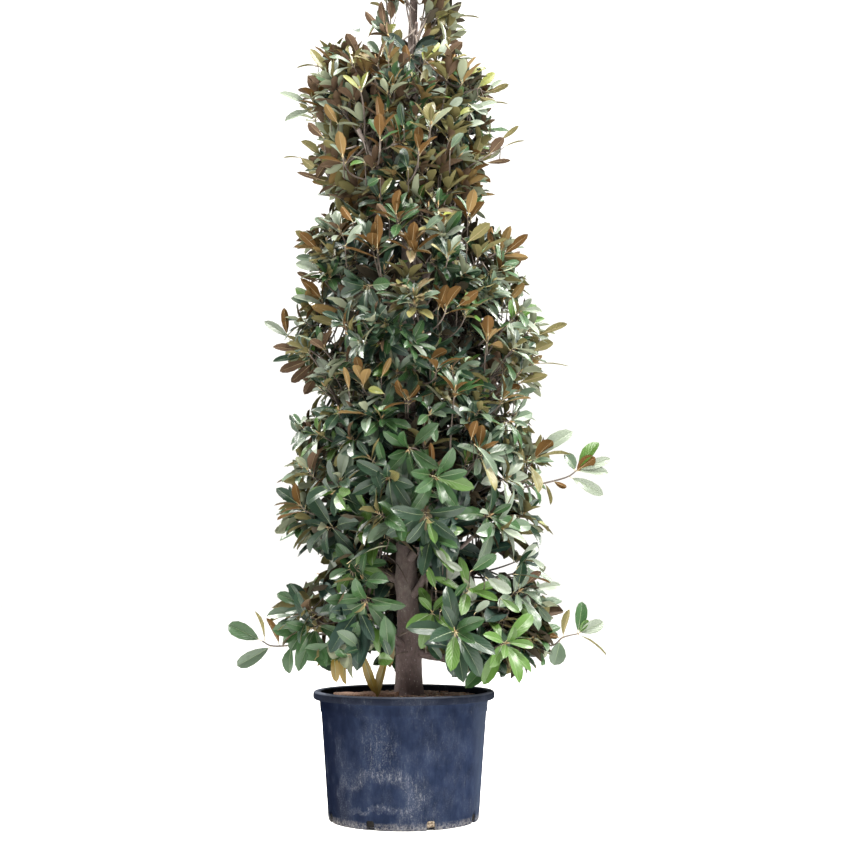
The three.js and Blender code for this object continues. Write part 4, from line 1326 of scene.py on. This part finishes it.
def bark_relief(points, radii, sides, depth, seed):
    """A limb's tube with ridges and lumps pressed into it."""
    vertices, faces = tube(points, radii, sides)
    rows = len(vertices) // sides
    rings = vertices.reshape(rows, sides, 3)
    centres = rings.mean(axis=1, keepdims=True)
    outward = unit(rings - centres)
    stretched = rings * np.array([1, 1, 0.35])
    relief = (noise(stretched, 0.022, seed) * 0.9 + noise(stretched, 0.009, seed + 1) * 0.6
              + noise(rings, 0.06, seed + 2) * 1.2)
    moved = rings + outward * relief[..., None] * depth
    moved[[0, -1]] = rings[[0, -1]]
    return moved.reshape(-1, 3), faces


def build_trunk(masses, bark):
    heights = np.concatenate([np.linspace(SOIL_TOP + ABOVE_SOIL, 0.75, 60),
                              np.linspace(0.755, TRUNK_TIP, 260)])
    points = np.array([trunk_at(z) for z in heights])
    vertices, faces = bark_relief(points, trunk_radius(heights), 40, TRUNK_RELIEF, 3)
    centres = np.array([trunk_at(float(np.clip(z, SOIL_TOP, TRUNK_TIP))) for z in vertices[:, 2]])
    outward = (vertices - centres) * [1, 1, 0]
    azimuth = np.arctan2(outward[:, 1], outward[:, 0])
    low = np.exp((SOIL_TOP - vertices[:, 2]) / BUTTRESS_HEIGHT)
    buttress = BUTTRESS_DEPTH * low * (0.5 + 0.5 * np.cos(BUTTRESSES * azimuth + 0.8))
    vertices = vertices + unit(outward) * buttress[:, None]
    for mass in masses:  # a collar where each bough leaves
        if "bough" in mass:
            root = mass["limb"][0]
            aim = unit((mass["limb"][1] - root) * [1, 1, 0.4])
            spot = root + aim * trunk_radius(root[2])
            near = np.exp(-(np.linalg.norm(vertices - spot, axis=1) / COLLAR_SIZE) ** 2)
            vertices = vertices + near[:, None] * COLLAR_DEPTH * aim
    vertices[:, 2] = np.maximum(vertices[:, 2], SOIL_TOP + ABOVE_SOIL)
    pile = Pile()
    pile.add(vertices, faces)
    foot = trunk_at(STUB["z"])
    aim = unit(level(STUB["azimuth"], 1.0, STUB["rise"]))
    stub = [foot + aim * d for d in np.linspace(0.02, STUB["length"], 12)]
    pile.add(*bark_relief(stub, np.linspace(STUB["root"], STUB["tip"], 12), 20, STUB_RELIEF, 9))
    return pile.piece("trunk_bark", [bark])


def build_boughs(masses, bark):
    pile = Pile()
    for i, mass in enumerate(masses):
        limb = whole_limb(mass)
        thick = RADIUS_AT_TIP if mass.get("on_top") else BOUGH_RADIUS if "bough" in mass else BOUGH_TIP
        points = np.array([point_along(limb, t) for t in np.linspace(0, 1, 4 * len(limb))])
        bow = np.sin(np.linspace(0, math.pi, len(points)))
        wander = noise(points, 0.12, 40 + i) * BOUGH_WANDER * bow
        points = points + wander[:, None] * np.array([0.6, -0.5, 0.6])
        pile.add(*bark_relief(points, np.linspace(thick, STEM_TIP, len(points)), 12, BOUGH_RELIEF, 60 + i))
    for i, (route, thick, thin) in enumerate(SHOWN_BOUGH):
        points = smooth_line(route, 24)
        pile.add(*bark_relief(points, np.linspace(thick, thin, 24), 14, BOUGH_RELIEF, 90 + i))
    return pile.piece("bough_bark", [bark])


class Tier:
    """What grows in one tier: free leaves, placed leaves, shaded leaves, and a pile of twigs."""

    def __init__(self):
        self.leaves, self.placed, self.inner, self.twigs = Leaves(), Leaves(), Leaves(), Pile()

    def grow_mass(self, mass, stars):
        """The mass's shoots, those to its rosettes that stand out, and its shaded ones."""
        random = np.random.default_rng(mass["seed"] + 1)
        shoots = [(s, None) for s in grow_shoots(mass)] + [(star_shoot(s, mass), s) for s in stars]
        for points, star in shoots:
            if leaf_out(points, self.placed if star else self.leaves, random, star):
                self.twigs.add(*tube(points, np.linspace(SHOOT_RADIUS, SHOOT_TIP, len(points)), 5))
                bud = points[-1] + unit(points[-1] - points[-2]) * BUD_ALONG
                self.twigs.add(*tube(bud, BUD_RADII, 4), kind=BUD)
        for points in grow_inner_shoots(mass):
            if leaf_out(points, self.inner, random, shaded=True):
                self.twigs.add(*tube(points, np.linspace(SHOOT_RADIUS, SHOOT_TIP, len(points)), 4))

    def grow_spray(self, y, twig, rows, random):
        """A spray that stands out. A leaf that its twig doesn't reach has a stalk from further in."""
        y = y / 1000
        if twig:
            line = smooth_line([(x / 1000, y, z / 1000) for x, z in twig], 16)
            self.twigs.add(*tube(line, np.linspace(SPRAY_RADIUS, SPRAY_TIP, 16), 6))
        for *sizes, shows, colour in rows:
            x, z, tip_x, tip_z, width = np.array(sizes) / 1000  # from millimetres
            base = np.array([x, y, z])
            self.placed.place(base, (tip_x, y - 0.01, tip_z), width, shows, colour, random)
            joint = base + STALK_FROM
            if twig:
                apart = np.linalg.norm(line - base, axis=1)
                joint = joint if apart.min() > STALK_REACH else line[np.argmin(apart)]
            if np.linalg.norm(joint - base) > STALK_LEAST:
                foot = lerp(joint, base, 0.3) + [0, 0.01, -0.01]  # a slight sag
                self.twigs.add(*tube(bezier(joint, foot, base, 6), np.linspace(0.0026, 0.0016, 6), 5))

    def build(self, name, twig_materials, top_materials, under_materials):
        """The tier's pieces, each with its slot: twigs, and the upper and lower sides of all leaves."""
        for a, b in self.leaves.petioles + self.placed.petioles + self.inner.petioles:
            self.twigs.add(*tube([a, b], [0.0016, 0.0012], 3, closed=False), kind=STALK)
        sheets = [Pile(), Pile()]
        fine = name in ("low", "middle")
        for under, sheet in enumerate(sheets):
            sheet.add(*blades(self.leaves, under, fine))
            sheet.add(*blades(self.placed, under, fine, ribbed=True))
            sheet.add(*blades(self.inner, under, fine=False))
        upper = sheets[0].piece(f"leaf_tops_{name}", top_materials)
        lower = sheets[1].piece(f"leaf_undersides_{name}", under_materials)
        twigs = self.twigs.piece(f"twigs_{name}", twig_materials)
        return (twigs, "bark"), (upper, "leaf_green"), (lower, "leaf_rust")


def build_foliage(masses):
    """The tiers of foliage. Each has the masses, rosettes and sprays that are nearest to its middles."""
    tops = [leaf_top(f"leaf_top_{n}", c) for n, (c, _, _) in TOPS.items()]
    unders = [leaf_under(f"leaf_under_{n}", c) for n, (c, _, _) in UNDERS.items()]
    tops.append(new_material("leaf_rib", 0.5, RIB).owner)
    unders.append(new_material("leaf_rib_felted", 0.7, FELTED_RIB).owner)
    twig = [twig_material(), leaf_under("bud_felt", (0.30, 0.20, 0.10)),
            new_material("leaf_stalk", 0.6, (0.30, 0.25, 0.13)).owner]
    middles = np.array([m["middle"] for m in masses])

    def nearest(point):
        return int(np.argmin(np.linalg.norm(middles - point, axis=1)))

    for number, name in enumerate(TIERS):
        tier, members = Tier(), range(number * TIER_SIZE, (number + 1) * TIER_SIZE)
        for i in members:
            tier.grow_mass(masses[i], [star for star in STARS if nearest(star.tip) == i])
        random = np.random.default_rng(SPRAY_SEED)
        for y, line, rows in SPRAYS:
            x, z = (line or rows)[0][:2]
            if nearest(np.array([x, y, z]) / 1000) in members:
                tier.grow_spray(y, line, rows, random)
        if name == "low":
            for base, tip, width in YELLOWED:
                tier.placed.place(base, tip, width, "top", "yellow", random)
            for route in BARE_TWIGS:
                tier.twigs.add(*tube(smooth_line(route, 10), 0.0016, 5))
        for piece, slot in tier.build(name, twig, tops, unders):
            finish(piece, slot, *[masses[i]["name"] for i in members])


# ------------------------------------------------------------------ pot and soil

POT_HEIGHT = 0.480
RIM_FOOT = 0.449
STEP_HEIGHT, STEP_DEPTH = 0.405, 0.003
FOOT_RADIUS, NECK_RADIUS = 0.290, 0.325
WALL, FLOOR = 0.006, 0.009
AXIS = 0.0002  # radius at which the turned shape closes
# The lip's section, out along its foot, up its roll and over it: radius and height.
LIP = [(0.326, 0.4485), (0.334, 0.449), (0.343, 0.4495), (0.3475, 0.452), (0.3498, 0.457),
       (0.350, 0.464), (0.3495, 0.471), (0.3470, 0.4765), (0.3425, 0.4795), (0.336, 0.480),
       (0.329, 0.4795), (0.3245, 0.4785), (0.3212, 0.475)]
SLOTS, SLOT_TURN = 8, math.radians(21)
SLOT_DEPTHS = (0.266, 0.32)  # radii between which a slot is cut
SLOT_SECTION = [(-0.016, -0.01), (0.016, -0.01), (0.016, 0.026), (0.0145, 0.031), (0.011, 0.034),
                (-0.011, 0.034), (-0.0145, 0.031), (-0.016, 0.026)]
# The soil stands higher in the middle, and falls to SOIL_TOP at its edge.
SOIL_EDGE, SOIL_CREST, SOIL_FALL, SOIL_FALLS_FROM = 0.3155, 0.461, 0.009, 0.20
SLAB_BASE = 0.4590


def wall_radius(z):
    return lerp(FOOT_RADIUS, NECK_RADIUS, z / RIM_FOOT) - (STEP_DEPTH if z < STEP_HEIGHT else 0)


def inner_radius(z):
    low, high = wall_radius(FLOOR), wall_radius(POT_HEIGHT)
    return lerp(low, high, (z - FLOOR) / (POT_HEIGHT - FLOOR)) - WALL


def slot_cutter(turn):
    """A bar with rounded upper corners, through the wall's foot."""
    sides = len(SLOT_SECTION)
    points = [(x * math.cos(turn) - y * math.sin(turn), x * math.sin(turn) + y * math.cos(turn), z)
              for x in SLOT_DEPTHS for y, z in SLOT_SECTION]
    quads = [(j, (j + 1) % sides, sides + (j + 1) % sides, sides + j) for j in range(sides)]
    mesh = bpy.data.meshes.new("slot_cutter")
    mesh.from_pydata(points, [], [*quads, tuple(range(sides))[::-1], tuple(range(sides, 2 * sides))])
    return add_object("slot_cutter", mesh)


def build_pot(material):
    profile = [(AXIS, 0.0), (0.27, 0.0), (wall_radius(0) - 0.004, 0.0), (wall_radius(0) - 0.001, 0.0015),
               (wall_radius(0), 0.005)]
    profile += [(wall_radius(z), z) for z in np.linspace(0.02, 0.398, 12)]
    profile += [(wall_radius(0.39) + 0.0025, 0.402), (wall_radius(0.41), 0.4065)]
    profile += [(wall_radius(z), z) for z in (0.415, 0.43, 0.446)]
    profile += LIP
    profile += [(inner_radius(z), z) for z in (0.468, 0.455, 0.44, 0.3, 0.15, 0.012)]
    profile += [(inner_radius(FLOOR) - 0.004, FLOOR), (AXIS, FLOOR)]
    vertices, faces = lathe(profile, 160)
    pot = mesh_object("nursery_pot", vertices, faces, materials=[material])
    cutters = [slot_cutter(SLOT_TURN + k * 2 * math.pi / SLOTS) for k in range(SLOTS)]
    for cutter in cutters:
        cut = pot.modifiers.new("slot", "BOOLEAN")
        cut.operation, cut.object, cut.solver = "DIFFERENCE", cutter, "EXACT"
    mesh = bpy.data.meshes.new_from_object(pot.evaluated_get(bpy.context.evaluated_depsgraph_get()))
    pot.modifiers.clear()
    pot.data = mesh
    for cutter in cutters:
        bpy.data.objects.remove(cutter)
    return pot


def soil_height(radius):
    return SOIL_CREST - SOIL_FALL * smoothstep(radius, SOIL_FALLS_FROM, SOIL_EDGE)


def build_soil(material):
    """The root ball, with a rough top."""
    rings, sides = 46, 120
    r = np.linspace(0.0, 1.0, rings)
    angles = np.arange(sides) * 2 * math.pi / sides
    x = SOIL_EDGE * r[:, None] * np.cos(angles)
    y = SOIL_EDGE * r[:, None] * np.sin(angles)
    points = np.stack([x, y, np.zeros_like(x)], -1)
    height = soil_height(SOIL_EDGE * r)[:, None]
    for depth, size, seed in ((0.0035, 0.05, 5), (0.0022, 0.016, 6), (0.0012, 0.007, 7)):
        height = height + depth * noise(points, size, seed)
    top = np.stack([x, y, height], -1)
    rim = np.stack([x[-1], y[-1], np.zeros(sides)], -1)[None]
    skirt = rim * [0.999, 0.999, 1] + [0, 0, 0.40]
    foot = rim * [0.9, 0.9, 1] + [0, 0, 0.012]
    middle = rim * [0, 0, 1] + [0, 0, 0.012]
    vertices = np.concatenate([top, skirt, foot, middle]).reshape(-1, 3)
    return mesh_object("root_ball_soil", vertices, grid_faces(rings + 3, sides, closed=True),
                       materials=[material])


def broken(size, random):
    """Vertices and quads of a chip: a box whose corners are knocked about."""
    corners = np.array([(x, y, z) for x in (-1, 1) for y in (-1, 1) for z in (-1, 1)], float)
    corners = corners * (1 + random.normal(0, 0.18, (8, 3))) * np.array(size) / 2
    quads = np.array([(0, 1, 3, 2), (4, 6, 7, 5), (0, 4, 5, 1), (2, 3, 7, 6), (0, 2, 6, 4), (1, 5, 7, 3)])
    return corners, quads


def turn_level(points, angle):
    c, s = math.cos(angle), math.sin(angle)
    return points @ np.array([[c, s, 0], [-s, c, 0], [0, 0, 1]])


def add_slab(pile, x, y, size, turn):
    """A ragged slab of bark, curved across: its upper and lower face, and a band round its rim."""
    rows, columns = 14, 6
    u, v = np.meshgrid(np.linspace(-1, 1, rows), np.linspace(-1, 1, columns), indexing="ij")
    flat = np.stack([u * size[0] / 2, v * size[1] / 2, np.zeros_like(u)], -1)
    ragged = 1 + 0.18 * noise(flat + 3, 0.02, 31)[..., None] * [1, 1, 0]
    thick = size[2] + 0.002 * noise(flat, 0.012, 32) - 0.25 * size[2] * v ** 2
    upper = flat * ragged + UP * thick[..., None]
    lower = flat * ragged * [1, 1, 0]
    rim = [(0, j) for j in range(columns)] + [(i, columns - 1) for i in range(1, rows)]
    rim += [(rows - 1, j) for j in range(columns - 2, -1, -1)] + [(i, 0) for i in range(rows - 2, 0, -1)]
    band = np.array([[sheet[i, j] for i, j in rim] for sheet in (lower, upper)])
    quads = grid_faces(rows, columns)
    around = grid_faces(2, len(rim), closed=True)
    for sheet, faces in ((upper, quads[:, ::-1]), (lower, quads), (band, around)):
        pile.add(turn_level(sheet.reshape(-1, 3), turn) + np.array([x, y, SLAB_BASE]), faces, 0)


def build_chips():
    """Bark chips and grit on the soil, and slabs of bark."""
    random = np.random.default_rng(21)
    pile = Pile()
    for _ in range(CHIPS):
        radius = random.uniform(0.075, 0.300)
        angle = random.uniform(0, 2 * math.pi)
        size = np.array([random.uniform(*span) for span in CHIP_SIZES])
        corners, quads = broken(size, random)
        place = level(angle, radius, soil_height(radius) + 0.2 * size[2])
        pile.add(turn_level(corners, random.uniform(0, math.pi)) + place, quads, int(random.integers(0, 2)))
    for (x, y), size, turn in SLABS:
        add_slab(pile, x, y, size, turn)
    return pile.piece("soil_chips", [chip_material("chips_brown", (0.13, 0.080, 0.058), (0.38, 0.25, 0.19)),
                                     chip_material("chips_pale", (0.22, 0.16, 0.12), (0.58, 0.49, 0.41))],
                      smooth=False)


# ------------------------------------------------------------------ the stage

LAMPS = [  # name, place, size in metres, power in watts
    ("key", (5.0, -4.5, 6.5), 1.6, 1250),
    ("top", (0.8, -1.8, 6.6), 2.0, 580),
    ("left", (-4.2, 0.4, 5.6), 2.0, 1080),
    ("right", (4.6, 0.5, 5.4), 2.0, 860),
]
LAMP_COLOUR, STUDIO_COLOUR = (1.0, 0.975, 0.93), (1.0, 0.985, 0.95, 1)
LIT_POINT = Vector((0, 0, 1.6))  # what the lamps face
# The studio's walls: brightness behind the tree and before it, and what is added straight overhead.
WALL_BEHIND, WALL_BEFORE, OVERHEAD = 1.07, 0.10, 1.0
SKIRTING = (0.10, 0.24)  # the walls are pale all round below these upward parts of the direction
LIT_SIDE, LIT_SPAN = (0.2, 0.97, 0.0), (-0.9, 0.1)  # towards where they grow brighter, and from how far
FLOOR_CORNER = 60  # metres out in x and y
FOCAL_LENGTH, SENSOR = 54.34, 36


def build_world():
    """A pale studio, white behind the tree, dimmer in front of it, and brightest overhead."""
    world = bpy.data.worlds.new("studio")
    bpy.context.scene.world = world
    nodes = Nodes(world, "Background")
    direction = nodes.add("TexCoord").outputs["Generated"]
    parts = []
    for side, spans in ((LIT_SIDE, (*LIT_SPAN, WALL_BEFORE, WALL_BEHIND)), (UP, (0.0, 1.0, 0.0, OVERHEAD))):
        towards = nodes.add("VectorMath", operation="DOT_PRODUCT")
        towards.inputs[1].default_value = side
        nodes.join(direction, towards.inputs[0])
        parts.append(nodes.fade(towards.outputs["Value"], *spans, how="SMOOTHSTEP"))
    height = nodes.add("SeparateXYZ")
    nodes.join(direction, height.inputs[0])
    low = nodes.fade(height.outputs["Z"], *SKIRTING, WALL_BEHIND, 0.0)
    nodes.join(nodes.math("MAXIMUM", nodes.plus(*parts), low), nodes.shader.inputs["Strength"])
    nodes.shader.inputs["Color"].default_value = STUDIO_COLOUR


def build_stage():
    corners = [(x * FLOOR_CORNER, y * FLOOR_CORNER, 0) for x, y in ((-1, -1), (1, -1), (1, 1), (-1, 1))]
    floor = mesh_object("floor", corners, [(0, 1, 2, 3)],
                        materials=[new_material("floor", 0.9, (0.84, 0.84, 0.84)).owner])
    build_world()
    for name, place, size, power in LAMPS:
        light = bpy.data.lights.new(name, "AREA")
        light.size, light.energy, light.color = size, power, LAMP_COLOUR
        lamp = add_object(name, light)
        lamp.location = place
        lamp.rotation_mode = "QUATERNION"
        lamp.rotation_quaternion = (LIT_POINT - Vector(place)).to_track_quat("-Z", "Y")
    camera = bpy.data.cameras.new("camera")
    camera.sensor_width, camera.lens = SENSOR, FOCAL_LENGTH
    view = add_object("camera", camera)
    view.location = EYE
    view.rotation_euler = (math.radians(90 + UPWARD), 0, 0)
    bpy.context.scene.camera = view
    bpy.context.scene.view_settings.view_transform = "Standard"


# ------------------------------------------------------------------ everything

build_stage()
masses = plan_crown()
bark = bark_material()
finish(build_trunk(masses, bark), "bark", "trunk")
finish(build_boughs(masses, bark), "bark", *[m["bough"] for m in masses if "bough" in m])
build_foliage(masses)
finish(build_pot(pot_material()), "pot_plastic", "pot")
finish(build_soil(soil_material()), "soil", "root_ball")
finish(build_chips(), "soil", "root_ball")
